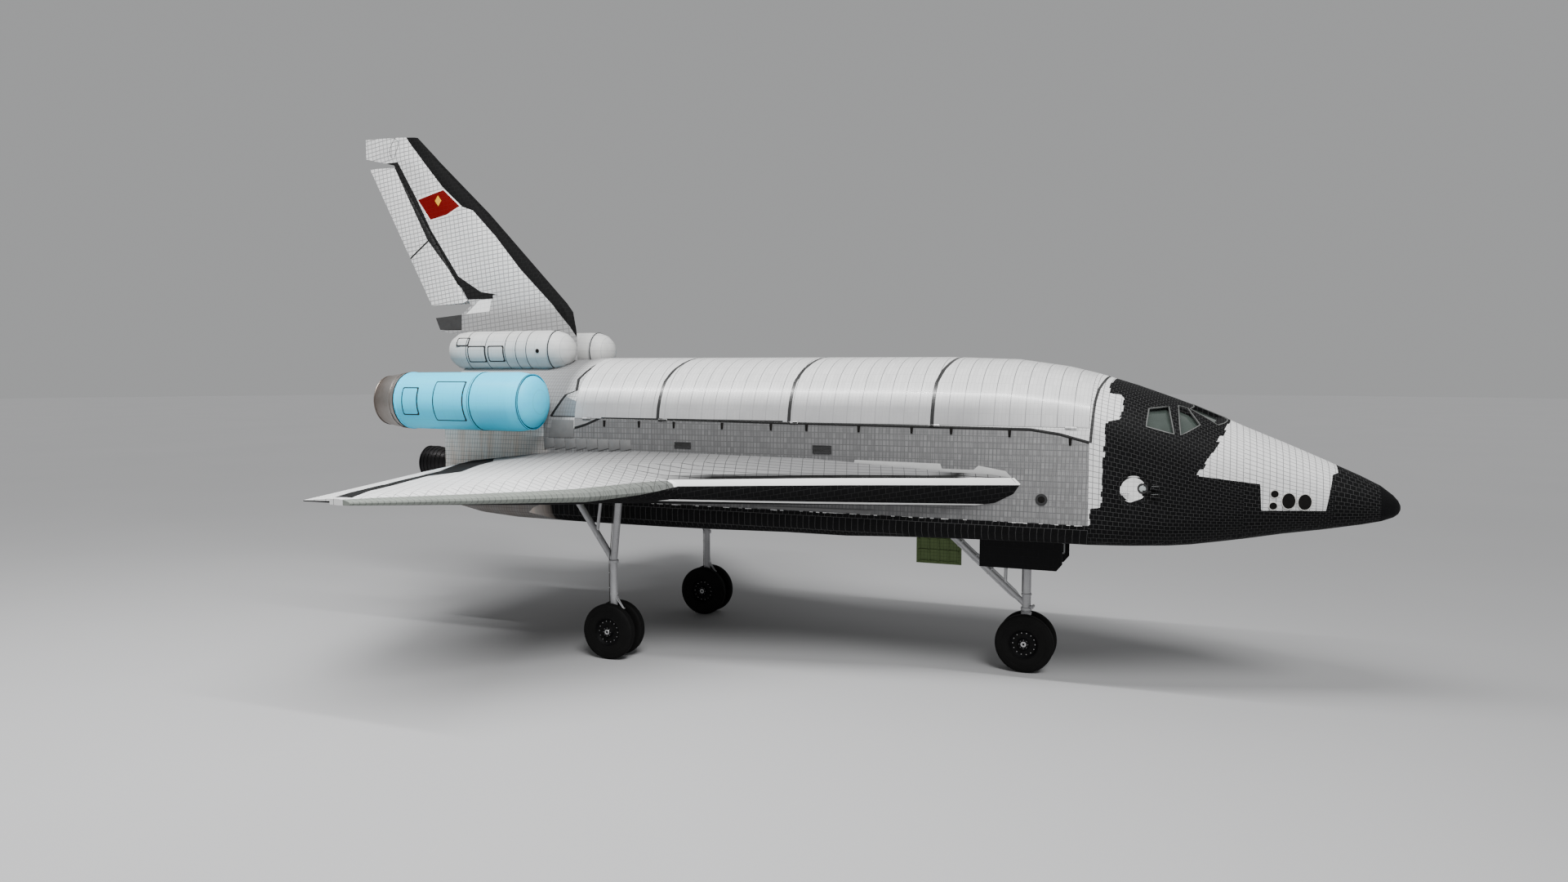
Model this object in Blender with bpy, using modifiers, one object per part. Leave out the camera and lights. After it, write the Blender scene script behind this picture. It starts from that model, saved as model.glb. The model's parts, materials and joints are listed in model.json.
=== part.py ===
"""Full-size shuttle-type test aircraft with four jet pods, parked on its landing gear.

Frame: +X points forward, +Y to port, +Z up. The origin is on the ground, in the middle of the
length and the span. Distances along the body are given as metres aft of the nose tip.
"""

import math

import bmesh
import bpy
from mathutils import Matrix, Vector

# Overall sizes, in metres
LENGTH = 36.37
SPAN = 23.92
FIN_TOP = 18.60

# Clearances between neighbours
SEAT = 0.0003
RUNNING_GAP = 0.012
HATCH_GAP = 0.012

# Fuselage sections: metres aft of the nose tip, half width, keel, widest height, crown, chine radius
HULL = [
    (0.00, 0.07, 5.58, 5.65, 5.73, 0.05),
    (0.06, 0.20, 5.48, 5.66, 5.86, 0.12),
    (0.18, 0.37, 5.40, 5.68, 6.00, 0.20),
    (0.50, 0.66, 5.30, 5.72, 6.26, 0.30),
    (1.00, 0.95, 5.20, 5.80, 6.52, 0.45),
    (2.00, 1.33, 5.02, 5.95, 6.98, 0.70),
    (3.00, 1.68, 4.87, 6.15, 7.42, 0.90),
    (4.00, 2.02, 4.71, 6.40, 7.84, 0.95),
    (4.60, 2.20, 4.63, 6.56, 8.11, 0.93),
    (5.40, 2.41, 4.53, 6.80, 8.45, 0.88),
    (6.00, 2.55, 4.49, 7.00, 8.68, 0.82),
    (7.00, 2.70, 4.46, 7.30, 9.04, 0.72),
    (8.10, 2.80, 4.45, 7.60, 9.38, 0.60),
    (9.00, 2.80, 4.45, 7.60, 9.60, 0.60),
    (10.50, 2.80, 4.43, 7.60, 9.82, 0.60),
    (12.60, 2.80, 4.40, 7.60, 9.90, 0.60),
    (14.05, 2.80, 4.35, 7.60, 9.9023, 0.60),
    (15.50, 2.80, 4.29, 7.60, 9.9047, 0.60),
    (17.50, 2.80, 4.29, 7.60, 9.9079, 0.60),
    (20.00, 2.80, 4.24, 7.60, 9.9119, 0.60),
    (22.00, 2.80, 4.22, 7.60, 9.9151, 0.60),
    (25.05, 2.80, 4.22, 7.60, 9.92, 0.60),
    (27.80, 2.80, 4.25, 7.60, 9.92, 0.60),
    (29.20, 2.80, 4.36, 7.60, 9.92, 0.55),
    (30.50, 2.80, 4.65, 7.60, 9.90, 0.45),
]
CROWN_POWER = 2.2
CROWN_STEPS = 9
CHINE_STEPS = 3

# Where the body sections meet
FORWARD_END = 8.10
MID_END = 25.05
TAIL_END = 30.50
CROWN_FLAT = 9.86

# Crew cabin inside the forward section
CABIN_SKIN = 0.12
CABIN_FRONT = 4.60
CABIN_REAR = 7.90
DECK_TOP = 7.06
DECK_UNDER = 6.96
DECK_WALL = 0.12
MIDDECK_SKIN = 0.22
GLASS_THICK = 0.03
GLASS_STEPS = 8
GLASS_GAP = 0.0008
GLASS_SPAN = (4.65, 6.75)

# Payload bay trough and its doors
SILL = 7.85
BAY_HALF_WIDTH = 2.46
BAY_FLOOR = 5.35
BAY_CORNER = 0.45
BAY_END_FRAME = 0.25
DOOR_THICK = 0.12
DOOR_STEPS = 10
KNUCKLE = dict(radius=0.036, length=0.16, room=0.045)
KNUCKLE_PLACES = (8.45, 12.4, 16.9, 21.5, 24.4)

# Nose wheel well and main strut bays: metres aft, half width or span, ceiling
NOSE_WELL = dict(front=9.02, rear=14.05, half_width=0.82, ceiling=5.10)
MAIN_BAY = dict(front=22.35, rear=25.10, inner=3.02, outer=4.02, ceiling=5.62)

# Windows: corner points on the side view (aft, height) or the front view (off centre, height)
SIDE_WINDOWS = [
    [(6.56, 8.38), (6.08, 8.43), (5.90, 7.72), (6.60, 7.92)],
    [(5.80, 8.45), (5.58, 8.38), (5.24, 7.95), (5.70, 7.69)],
]
FRONT_WINDOW = [(0.10, 8.46), (1.02, 8.36), (1.30, 7.94), (0.10, 8.10)]
FRONT_WINDOW_AFT = (4.3, 5.75)

# Crew hatch, on the starboard side
HATCH_AFT = 6.90
HATCH_HEIGHT = 6.16
HATCH_RADIUS = 0.45
HATCH_THICK = 0.07
HATCH_PIN = dict(radius=0.022, length=0.10, stand_off=0.028)
HATCH_PIN_HEIGHTS = (-0.12, 0.10)

# Wing sections: off centre, leading edge aft, nose length, nose middle height, nose half height,
# thickest aft, top and bottom there, hinge-face top and bottom
WING = [
    (2.80, 10.00, 1.45, 5.98, 0.48, 22.5, 6.80, 5.10, 6.27, 5.43),
    (3.85, 15.02, 1.10, 5.90, 0.43, 23.0, 6.70, 5.16, 6.24, 5.47),
    (4.90, 19.95, 0.75, 5.84, 0.38, 23.8, 6.60, 5.24, 6.20, 5.52),
    (7.00, 21.85, 0.42, 5.76, 0.24, 24.4, 6.40, 5.40, 6.15, 5.62),
    (9.40, 24.00, 0.25, 5.83, 0.13, 25.4, 6.20, 5.64, 6.09, 5.74),
    (11.96, 26.10, 0.10, 5.94, 0.06, 26.5, 6.05, 5.88, 6.04, 5.89),
]
# The strake's nose is a sharp lip above its middle height, which fades out along the span
STRAKE_LIP = 0.22
STRAKE_LIP_END = 4.90
# Trailing edge and hinge line: aft at the tip, and how much further aft for each metre inboard
HINGE_AT_TIP = 26.86
HINGE_SLOPE = 0.300
TRAILING_AT_TIP = 27.72
TRAILING_SLOPE = 0.330
HINGE_HEIGHT = 5.965
ELEVON_ROOT = 3.02
ELEVON_SPLIT = 7.10
ELEVON_TIP = 11.80
ELEVON_RADIUS = dict(root=0.24, tip=0.055)

# Fin sections: leading-edge aft and height, trailing-edge aft and height, half thickness, half
# thickness at the trailing face. Where the trailing edge is None it follows the rudder's nose.
FIN = [
    (26.70, CROWN_FLAT, 30.40, CROWN_FLAT, 0.42, 0.30),
    (26.70, 10.60, 31.70, 10.60, 0.42, 0.28),
    (26.74, 11.00, 31.70, 11.00, 0.42, 0.27),
    (26.86, 11.62, 31.70, 11.62, 0.41, 0.25),
    (27.12, 11.95, None, 11.95, 0.40, 0.26),
    (30.50, 15.39, None, 15.39, 0.30, 0.18),
    (32.80, 17.50, None, 17.50, 0.22, 0.12),
    (33.02, 17.72, LENGTH, 17.84, 0.21, 0.05),
    (33.84, 18.50, LENGTH, FIN_TOP, 0.16, 0.05),
]
# Rudder hinge line and outline: aft and height of hinge points, then of the trailing edge
RUDDER_HINGE_LOW = (31.62, 12.05)
RUDDER_HINGE_TOP = (34.99, 17.36)
RUDDER_TRAIL_LOW = (33.29, 11.99)
RUDDER_TRAIL_TOP = (36.20, 17.44)
RUDDER_RADIUS = dict(low=0.25, top=0.115)
RUDDER_SPLIT = 0.42

# Drag chute housing behind the fin, and the thin shelf under it, as (aft, height)
CHUTE = [(31.70, 11.61), (32.95, 11.50), (32.75, 11.04), (31.70, 11.04)]
CHUTE_HALF_WIDTH = 0.24
SHELF = [(31.00, 10.97), (32.68, 11.02), (31.95, 10.87), (31.00, 10.80)]
SHELF_HALF_WIDTH = 0.45

# Jet pods: turned outlines as (aft, radius)
SIDE_POD = dict(off=3.75, height=8.42, pylon=(7.95, 8.85), pylon_front=26.3, pylon_rear=30.4)
SIDE_POD_BODY = [(26.45, 0.99), (26.60, 1.00), (31.10, 0.98)]
SIDE_POD_COVER = [(25.72, 0.00), (25.74, 0.32), (25.80, 0.58), (25.92, 0.80), (26.12, 0.94),
                  (26.45, 0.99)]
SIDE_POD_NOZZLE = [(31.10, 0.97), (31.60, 0.93), (32.05, 0.85)]
NOZZLE_WALL = 0.06
TOP_POD = dict(off=1.36, height=10.19)
TOP_POD_OUTLINE = [(26.00, 0.00), (26.02, 0.20), (26.11, 0.42), (26.30, 0.59), (26.58, 0.69),
                   (26.95, 0.71), (30.35, 0.71), (30.75, 0.66), (31.00, 0.52), (31.11, 0.30),
                   (31.14, 0.00)]

# Orbital engine bells on the rear bulkhead
BELL = dict(off=1.50, height=6.02)
BELL_OUTLINE = [(30.50, 0.34), (31.00, 0.36), (31.35, 0.46), (31.65, 0.56), (31.95, 0.61),
                (32.30, 0.60)]
BELL_WALL = 0.035

# Body flap
FLAP = dict(hinge_aft=30.68, hinge_height=4.86, radius=0.15, half_width=2.50, rear=32.65,
            rear_half=0.04)

# Landing gear
WHEEL_RADIUS = 0.915
TYRE_WIDTH = 0.32
TYRE_OFF = 0.32
RIM_RADIUS = 0.46
AXLE_RADIUS = 0.075
NOSE_GEAR_AFT = 10.22
MAIN_GEAR_AFT = 23.14
MAIN_GEAR_OFF = 3.50
LEG_RADIUS = 0.12
BRACE_RADIUS = 0.095
ACTUATOR_RADIUS = 0.055
STEER_PIVOT = 1.90

WHEEL_SIDES = 28
POD_SIDES = 28
ROD_SIDES = 14

PARTS = "shuttle_test_aircraft"
CUTTERS = "cutters"


def station(aft):
    """X of a place given in metres aft of the nose tip."""
    return LENGTH / 2 - aft


def fresh_collection(name):
    collection = bpy.data.collections.new(name)
    bpy.context.scene.collection.children.link(collection)
    return collection


def paint(name, colour, roughness, metallic=0.0):
    material = bpy.data.materials.new(name)
    material.use_nodes = True
    shader = material.node_tree.nodes["Principled BSDF"]
    shader.inputs["Base Color"].default_value = (*colour, 1.0)
    shader.inputs["Roughness"].default_value = roughness
    shader.inputs["Metallic"].default_value = metallic
    material.diffuse_color = (*colour, 1.0)
    return material


def place(name, bm, material=None, origin=(0.0, 0.0, 0.0), smooth=True):
    """Turn a bmesh built in world coordinates into an object whose origin is where it turns."""
    bmesh.ops.recalc_face_normals(bm, faces=bm.faces)
    bmesh.ops.translate(bm, verts=bm.verts, vec=-Vector(origin))
    mesh = bpy.data.meshes.new(name)
    bm.to_mesh(mesh)
    bm.free()
    if smooth:
        mesh.shade_smooth()
        mesh.set_sharp_from_angle(angle=math.radians(30))
    thing = bpy.data.objects.new(name, mesh)
    thing.location = origin
    if material is None:
        bpy.data.collections[CUTTERS].objects.link(thing)
        thing.hide_render = True
        thing.display_type = "WIRE"
    else:
        mesh.materials.append(material)
        bpy.data.collections[PARTS].objects.link(thing)
    return thing


def boolean(target, other, operation):
    modifier = target.modifiers.new(other.name, "BOOLEAN")
    modifier.operation = operation
    modifier.solver = "EXACT"
    modifier.object = other


def cut(target, cutter):
    boolean(target, cutter, "DIFFERENCE")


def join(target, other):
    boolean(target, other, "UNION")


def loft(rings):
    """Skin a row of rings, each with the same number of points, and close both ends.

    The skin is made of triangles, so that two lofts through the same stations stay parallel.
    """
    bm = bmesh.new()
    rows = [[bm.verts.new(point) for point in ring] for ring in rings]
    for near, far in zip(rows, rows[1:]):
        for here in range(len(near)):
            after = (here + 1) % len(near)
            bm.faces.new((near[here], near[after], far[after], far[here]))
    bmesh.ops.triangulate(bm, faces=bm.faces[:], quad_method="FIXED")
    bm.faces.new(rows[0])
    bm.faces.new(list(reversed(rows[-1])))
    return bm


def box(fore, rear, low_y, high_y, low_z, high_z):
    """A box between two stations, two widths and two heights."""
    size = Vector((rear - fore, high_y - low_y, high_z - low_z))
    middle = Vector((station((fore + rear) / 2), (low_y + high_y) / 2, (low_z + high_z) / 2))
    bm = bmesh.new()
    bmesh.ops.create_cube(bm, size=1.0, matrix=Matrix.Translation(middle) @ Matrix.Diagonal((*size, 1)))
    return bm


def rod(start, end, radius, sides=ROD_SIDES):
    """A round bar between two points."""
    start = Vector(start)
    along = Vector(end) - start
    turn = along.to_track_quat("Z", "Y").to_matrix().to_4x4()
    bm = bmesh.new()
    bmesh.ops.create_cone(bm, cap_ends=True, segments=sides, radius1=radius, radius2=radius,
                          depth=along.length, matrix=Matrix.Translation(start + along / 2) @ turn)
    return bm


def slab(outline, low_y, high_y):
    """A flat plate whose outline is given as (aft, height), between two widths."""
    return loft([[(station(aft), off, height) for aft, height in outline] for off in (low_y, high_y)])


def turned(name, outline, centre, direction, sides, material=None):
    """Turn an outline of (along, radius) about a line through centre, as a Screw modifier."""
    mesh = bpy.data.meshes.new(name)
    points = [(radius, 0.0, -along) for along, radius in outline]
    edges = [(index, index + 1) for index in range(len(points) - 1)]
    closed = outline[0][1] > 0.0
    if closed:
        edges.append((len(points) - 1, 0))
    mesh.from_pydata(points, edges, [])
    thing = bpy.data.objects.new(name, mesh)
    thing.location = centre
    thing.rotation_mode = "QUATERNION"
    thing.rotation_quaternion = (-Vector(direction)).to_track_quat("Z", "Y")
    screw = thing.modifiers.new("turn", "SCREW")
    screw.steps = sides
    screw.render_steps = sides
    screw.use_merge_vertices = True
    screw.merge_threshold = 0.0001
    screw.use_smooth_shade = True
    if material is None:
        bpy.data.collections[CUTTERS].objects.link(thing)
        thing.hide_render = True
        thing.display_type = "WIRE"
    else:
        mesh.materials.append(material)
        bpy.data.collections[PARTS].objects.link(thing)
    return thing


def blend(table, aft):
    """Values of the section table at a place between two of its rows."""
    for near, far in zip(table, table[1:]):
        if near[0] <= aft <= far[0]:
            share = (aft - near[0]) / (far[0] - near[0])
            return tuple(a + (b - a) * share for a, b in zip(near, far))
    raise ValueError(f"no section at {aft}")


def stations_between(front, rear):
    """Every table row between two places, with the two places themselves."""
    return [front] + [row[0] for row in HULL if front < row[0] < rear] + [rear]


def crown_point(half, side, crown, angle):
    return (half * math.cos(angle) ** (2 / CROWN_POWER),
            side + (crown - side) * math.sin(angle) ** (2 / CROWN_POWER))


def crown_angle(side, crown, height):
    """Angle at which the crown curve reaches a height."""
    share = min(1.0, max(0.0, (height - side) / (crown - side)))
    return math.asin(share ** (CROWN_POWER / 2))


def mirrored(aft, half_outline):
    """Close a half outline, from the crown down to the keel, by its mirror image."""
    x = station(aft)
    port = [(x, y, z) for y, z in half_outline]
    starboard = [(x, -y, z) for y, z in reversed(half_outline) if y > 1e-6]
    return port + starboard


def hull_ring(aft):
    _, half, keel, side, crown, chine = blend(HULL, aft)
    outline = [(0.0, crown)]
    for step in range(1, CROWN_STEPS + 1):
        outline.append(crown_point(half, side, crown, math.pi / 2 * (1 - step / CROWN_STEPS)))
    chine_width = min(chine, 0.75 * half)
    for step in range(CHINE_STEPS + 1):
        angle = math.pi / 2 * step / CHINE_STEPS
        outline.append((half - chine_width * (1 - math.cos(angle)), keel + chine * (1 - math.sin(angle))))
    outline.append((0.0, keel))
    return mirrored(aft, outline)


def cabin_arc(aft, inset, steps=CROWN_STEPS):
    """The cabin's roof line from the crown down, moved inwards from the cabin's own skin."""
    _, half, _, side, crown, _ = blend(HULL, aft)
    low = crown_angle(side, crown - CABIN_SKIN, DECK_TOP + DECK_WALL)
    half, crown = half - CABIN_SKIN - inset, crown - CABIN_SKIN - inset
    angles = [low + (math.pi / 2 - low) * (1 - step / CROWN_STEPS) for step in range(steps + 1)]
    return [(0.0, crown)] + [crown_point(half, side, crown, angle) for angle in angles[1:]]


def flight_deck_ring(aft):
    """The space above the flight deck floor, one skin inside the hull."""
    outline = cabin_arc(aft, 0.0)
    outline.append((outline[-1][0], DECK_TOP))
    outline.append((0.0, DECK_TOP))
    return mirrored(aft, outline)


def middeck_ring(aft, skin=MIDDECK_SKIN):
    """The space below the flight deck floor."""
    _, half, keel, _, _, chine = blend(HULL, aft)
    half, floor = half - skin, keel + skin
    corner = chine * 0.8
    outline = [(0.0, DECK_UNDER), (half, DECK_UNDER), (half, floor + corner)]
    outline += [(half - corner * 0.3, floor + corner * 0.3), (half - corner, floor), (0.0, floor)]
    return mirrored(aft, outline)


def glass_ring(aft):
    """A curved pane strip, close behind the window openings."""
    rows = []
    for inset in (GLASS_GAP, GLASS_THICK):
        arc = cabin_arc(aft, inset, GLASS_STEPS)
        rows.append([(-y, z) for y, z in reversed(arc[1:])] + arc)
    return [(station(aft), y, z) for y, z in rows[0] + list(reversed(rows[1]))]


def trough_ring(aft):
    """Half section of the open payload trough, closed by its mirror image."""
    _, half, keel, side, crown, chine = blend(HULL, aft)
    sill_out = crown_point(half, side, crown, crown_angle(side, crown, SILL))[0]
    outline = [(0.0, BAY_FLOOR), (BAY_HALF_WIDTH - BAY_CORNER, BAY_FLOOR),
               (BAY_HALF_WIDTH, BAY_FLOOR + BAY_CORNER), (BAY_HALF_WIDTH, SILL), (sill_out, SILL),
               (half, side)]
    for step in range(CHINE_STEPS + 1):
        angle = math.pi / 2 * step / CHINE_STEPS
        outline.append((half - chine * (1 - math.cos(angle)), keel + chine * (1 - math.sin(angle))))
    outline.append((0.0, keel))
    return mirrored(aft, outline)


def door_ring(aft, hand):
    """Section of one payload bay door, from its sill to the centreline."""
    _, half, _, side, crown, _ = blend(HULL, aft)
    rows = []
    for inset in (0.0, DOOR_THICK):
        low = crown_angle(side, crown - inset, SILL + RUNNING_GAP)
        row = []
        for step in range(DOOR_STEPS + 1):
            angle = low + (math.pi / 2 - low) * step / DOOR_STEPS
            y, z = crown_point(half - inset, side, crown - inset, angle)
            row.append((max(y, RUNNING_GAP / 2), z))
        rows.append(row)
    outline = rows[0] + list(reversed(rows[1]))
    return [(station(aft), hand * y, z) for y, z in outline]


def build_forward_fuselage(finish):
    hull = place("forward_fuselage", loft([hull_ring(a) for a in stations_between(0.0, FORWARD_END)]),
                 finish["tile"])
    ends = {CABIN_FRONT, CABIN_REAR, *GLASS_SPAN}
    deck = [flight_deck_ring(a) for a in sorted(ends | set(stations_between(CABIN_FRONT, CABIN_REAR)))]
    cut(hull, place("flight_deck_space", loft(deck)))
    middeck = [middeck_ring(a) for a in stations_between(CABIN_FRONT, CABIN_REAR)]
    cut(hull, place("middeck_space", loft(middeck)))
    for hand in (1, -1):
        for number, corners in enumerate(SIDE_WINDOWS):
            reach = sorted((hand * 1.25, hand * 3.2))
            cut(hull, place(f"side_window_{number}_{hand}", slab(corners, *reach)))
        front = [[(station(aft), hand * off, height) for off, height in FRONT_WINDOW]
                 for aft in FRONT_WINDOW_AFT]
        cut(hull, place(f"front_window_{hand}", loft(front)))
    cut(hull, turned("hatch_opening", [(2.2, 0.0), (2.2, HATCH_RADIUS), (3.0, HATCH_RADIUS), (3.0, 0.0)],
                     (station(HATCH_AFT), 0.0, HATCH_HEIGHT), (0, -1, 0), POD_SIDES))
    return hull


def hatch_hinge():
    """The hatch turns about an upright pin at its front edge, just outside the skin."""
    aft = HATCH_AFT - HATCH_RADIUS
    return Vector((station(aft), -blend(HULL, aft)[1] - HATCH_PIN["stand_off"], HATCH_HEIGHT))


def hatch_knuckle(name, thing, low, reach):
    """A short pin barrel with the leaf that carries it, joined to the hull or the hatch."""
    hinge, pin = hatch_hinge(), HATCH_PIN
    foot = Vector((hinge.x, hinge.y, HATCH_HEIGHT + low))
    head = foot + Vector((0, 0, pin["length"]))
    join(thing, place(f"{name}_barrel", rod(foot, head, pin["radius"], 12)))
    fore, rear, inner = reach
    join(thing, place(f"{name}_leaf", box(fore, rear, hinge.y - pin["radius"], inner, foot.z, head.z)))


def build_crew_hatch(finish, hull):
    """The round door follows the skin, cut out with a running gap."""
    hatch = place("crew_hatch", loft([hull_ring(a) for a in stations_between(5.4, FORWARD_END)]),
                  finish["white"], origin=hatch_hinge())
    inner = [middeck_ring(a, HATCH_THICK) for a in stations_between(5.3, FORWARD_END + 0.1)]
    cut(hatch, place("hatch_inner", loft(inner)))
    disc = turned("hatch_disc", [(2.2, 0.0), (2.2, HATCH_RADIUS - HATCH_GAP),
                                 (3.0, HATCH_RADIUS - HATCH_GAP), (3.0, 0.0)],
                  (station(HATCH_AFT), 0.0, HATCH_HEIGHT), (0, -1, 0), POD_SIDES)
    boolean(hatch, disc, "INTERSECT")
    edge = HATCH_AFT - HATCH_RADIUS
    outside = -blend(HULL, edge)[1] - HATCH_GAP
    for number, middle in enumerate(HATCH_PIN_HEIGHTS):
        hatch_knuckle(f"hatch_pin_{number}", hatch, middle, (edge, edge + 0.21, outside))
        low = middle - HATCH_PIN["length"] - SEAT
        hatch_knuckle(f"hull_pin_{number}", hull, low, (edge - 0.21, edge, outside + 0.04))


def build_cabin(finish):
    glass = [glass_ring(a) for a in stations_between(*GLASS_SPAN)]
    place("windshield_glass", loft(glass), finish["glass"])
    panel = [(4.95, DECK_TOP + SEAT), (5.35, DECK_TOP + SEAT), (5.25, 7.62), (4.95, 7.66)]
    place("instrument_panel", slab(panel, -1.35, 1.35), finish["grey"], smooth=False)
    for name, off in (("crew_seat_left", 0.62), ("crew_seat_right", -0.62)):
        outline = [(6.05, DECK_TOP + SEAT), (6.45, DECK_TOP + SEAT), (6.55, 7.42), (6.72, 8.10),
                   (6.58, 8.12), (6.38, 7.56), (5.92, 7.50), (5.92, 7.38), (6.08, 7.36)]
        place(name, slab(outline, off - 0.26, off + 0.26), finish["black"], smooth=False)


def knuckle_room(name, thing, aft, hand):
    """Space in one piece for the other piece's barrel to turn in."""
    off, room, end = hand * bay_hinge_off(), KNUCKLE["room"], 0.01
    cut(thing, place(name, box(aft - end, aft + KNUCKLE["length"] + end, off - room, off + room,
                               SILL - room, SILL + room)))


def knuckle_barrel(name, thing, aft, hand):
    off = hand * bay_hinge_off()
    ends = [(station(place_aft), off, SILL) for place_aft in (aft, aft + KNUCKLE["length"])]
    join(thing, place(name, rod(*ends, KNUCKLE["radius"], 12)))


def build_door_hinges(trough, doors):
    """Pairs of barrels, end to end on each sill line: one on the sill and one on the door."""
    beside = KNUCKLE["length"] + SEAT
    for hand, door in doors.items():
        for number, aft in enumerate(KNUCKLE_PLACES):
            knuckle_room(f"door_room_{number}_{hand}", door, aft, hand)
            knuckle_room(f"sill_room_{number}_{hand}", trough, aft + beside, hand)
        for number, aft in enumerate(KNUCKLE_PLACES):
            knuckle_barrel(f"sill_barrel_{number}_{hand}", trough, aft, hand)
            knuckle_barrel(f"door_barrel_{number}_{hand}", door, aft + beside, hand)


def build_mid_fuselage(finish):
    rings = [trough_ring(a) for a in stations_between(FORWARD_END + SEAT, MID_END - SEAT)]
    trough = place("mid_fuselage", loft(rings), finish["white"])
    for name, fore, rear in (("front_frame", FORWARD_END + SEAT, FORWARD_END + BAY_END_FRAME),
                             ("rear_frame", MID_END - BAY_END_FRAME, MID_END - SEAT)):
        join(trough, place(name, box(fore, rear, -BAY_HALF_WIDTH - 0.1, BAY_HALF_WIDTH + 0.1,
                                     BAY_FLOOR - 0.1, SILL)))
    well = NOSE_WELL
    cut(trough, place("nose_well_space", box(well["front"], well["rear"], -well["half_width"],
                                             well["half_width"], 3.0, well["ceiling"])))
    return trough


def build_bay_doors(finish):
    doors = {}
    for name, hand in (("bay_door_left", 1), ("bay_door_right", -1)):
        ends = (FORWARD_END + RUNNING_GAP, MID_END - RUNNING_GAP)
        rings = [door_ring(a, hand) for a in stations_between(*ends)]
        doors[hand] = place(name, loft(rings), finish["white"],
                            origin=(0.0, hand * bay_hinge_off(), SILL))
    return doors


def bay_hinge_off():
    _, half, _, side, crown, _ = blend(HULL, 16.0)
    return crown_point(half, side, crown, crown_angle(side, crown, SILL))[0]


def side_pod_centre(hand):
    return (station(0.0), hand * SIDE_POD["off"], SIDE_POD["height"])


def top_pod_centre(hand):
    return (station(0.0), hand * TOP_POD["off"], TOP_POD["height"])


def build_aft_fuselage(finish):
    rings = [hull_ring(a) for a in stations_between(MID_END, TAIL_END)]
    hull = place("aft_fuselage", loft(rings), finish["white"])
    cut(hull, place("crown_trim", box(MID_END + 0.6, TAIL_END + 1, -2, 2, CROWN_FLAT, 11)))
    pod = SIDE_POD
    for hand in (1, -1):
        reach = sorted((hand * 2.3, hand * 3.6))
        join(hull, place(f"pylon_{hand}", box(pod["pylon_front"], pod["pylon_rear"], *reach, *pod["pylon"])))
        room = [(a, r + SEAT * 2 if r else 0.0) for a, r in whole_side_pod()]
        cut(hull, turned(f"side_pod_room_{hand}", room, side_pod_centre(hand), (-1, 0, 0), POD_SIDES))
        room = [(a, r + SEAT * 2 if r else 0.0) for a, r in TOP_POD_OUTLINE]
        room[0] = (room[0][0] - SEAT * 2, 0.0)
        cut(hull, turned(f"top_pod_room_{hand}", room, top_pod_centre(hand), (-1, 0, 0), POD_SIDES))
    flap = FLAP
    for hand in (-2, 0, 2):
        pad = box(TAIL_END - 0.1, flap["hinge_aft"] - flap["radius"] - SEAT, hand - 0.12, hand + 0.12,
                  flap["hinge_height"] - 0.09, flap["hinge_height"] + 0.09)
        join(hull, place(f"flap_pad_{hand}", pad))
    return hull


def whole_side_pod():
    """Outline of the pod with its intake cover, from the front centre to the rear centre."""
    return SIDE_POD_COVER + SIDE_POD_BODY[1:] + [(SIDE_POD_BODY[-1][0], 0.0)]


def build_side_pods(finish):
    for name, hand in (("left", 1), ("right", -1)):
        centre = side_pod_centre(hand)
        body = [(SIDE_POD_BODY[0][0] + SEAT, 0.0)] + [
            (SIDE_POD_BODY[0][0] + SEAT, SIDE_POD_BODY[0][1])] + SIDE_POD_BODY[1:]
        body += [(SIDE_POD_BODY[-1][0], 0.0)]
        turned(f"side_pod_{name}", body, centre, (-1, 0, 0), POD_SIDES, finish["blue"])
        cover = SIDE_POD_COVER + [(SIDE_POD_COVER[-1][0], 0.0)]
        turned(f"intake_cover_{name}", cover, centre, (-1, 0, 0), POD_SIDES, finish["blue"])
        outer = [(a + SEAT, r) for a, r in SIDE_POD_NOZZLE]
        inner = [(a + SEAT, r - NOZZLE_WALL) for a, r in reversed(SIDE_POD_NOZZLE)]
        turned(f"exhaust_nozzle_{name}", outer + inner, centre, (-1, 0, 0), POD_SIDES, finish["steel"])


def build_top_pods(finish):
    for name, hand in (("left", 1), ("right", -1)):
        turned(f"top_pod_{name}", TOP_POD_OUTLINE, top_pod_centre(hand), (-1, 0, 0), POD_SIDES,
               finish["white"])


def build_bells(finish):
    for name, hand in (("left", 1), ("right", -1)):
        centre = (station(0.0), hand * BELL["off"], BELL["height"])
        outer = [(a + SEAT, r) for a, r in BELL_OUTLINE]
        inner = [(a + SEAT, r - BELL_WALL) for a, r in reversed(BELL_OUTLINE)]
        inner[-1] = (BELL_OUTLINE[0][0] + 0.15, inner[-1][1])
        turned(f"engine_bell_{name}", outer + inner + [(inner[-1][0], 0.0), (outer[0][0], 0.0)],
               centre, (-1, 0, 0), POD_SIDES, finish["black"])


def hinge_aft(off):
    return HINGE_AT_TIP + HINGE_SLOPE * (SPAN / 2 - off)


def trailing_aft(off):
    return TRAILING_AT_TIP + TRAILING_SLOPE * (SPAN / 2 - off)


def elevon_radius(off):
    share = (off - WING[0][0]) / (WING[-1][0] - WING[0][0])
    return ELEVON_RADIUS["root"] + (ELEVON_RADIUS["tip"] - ELEVON_RADIUS["root"]) * share


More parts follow.
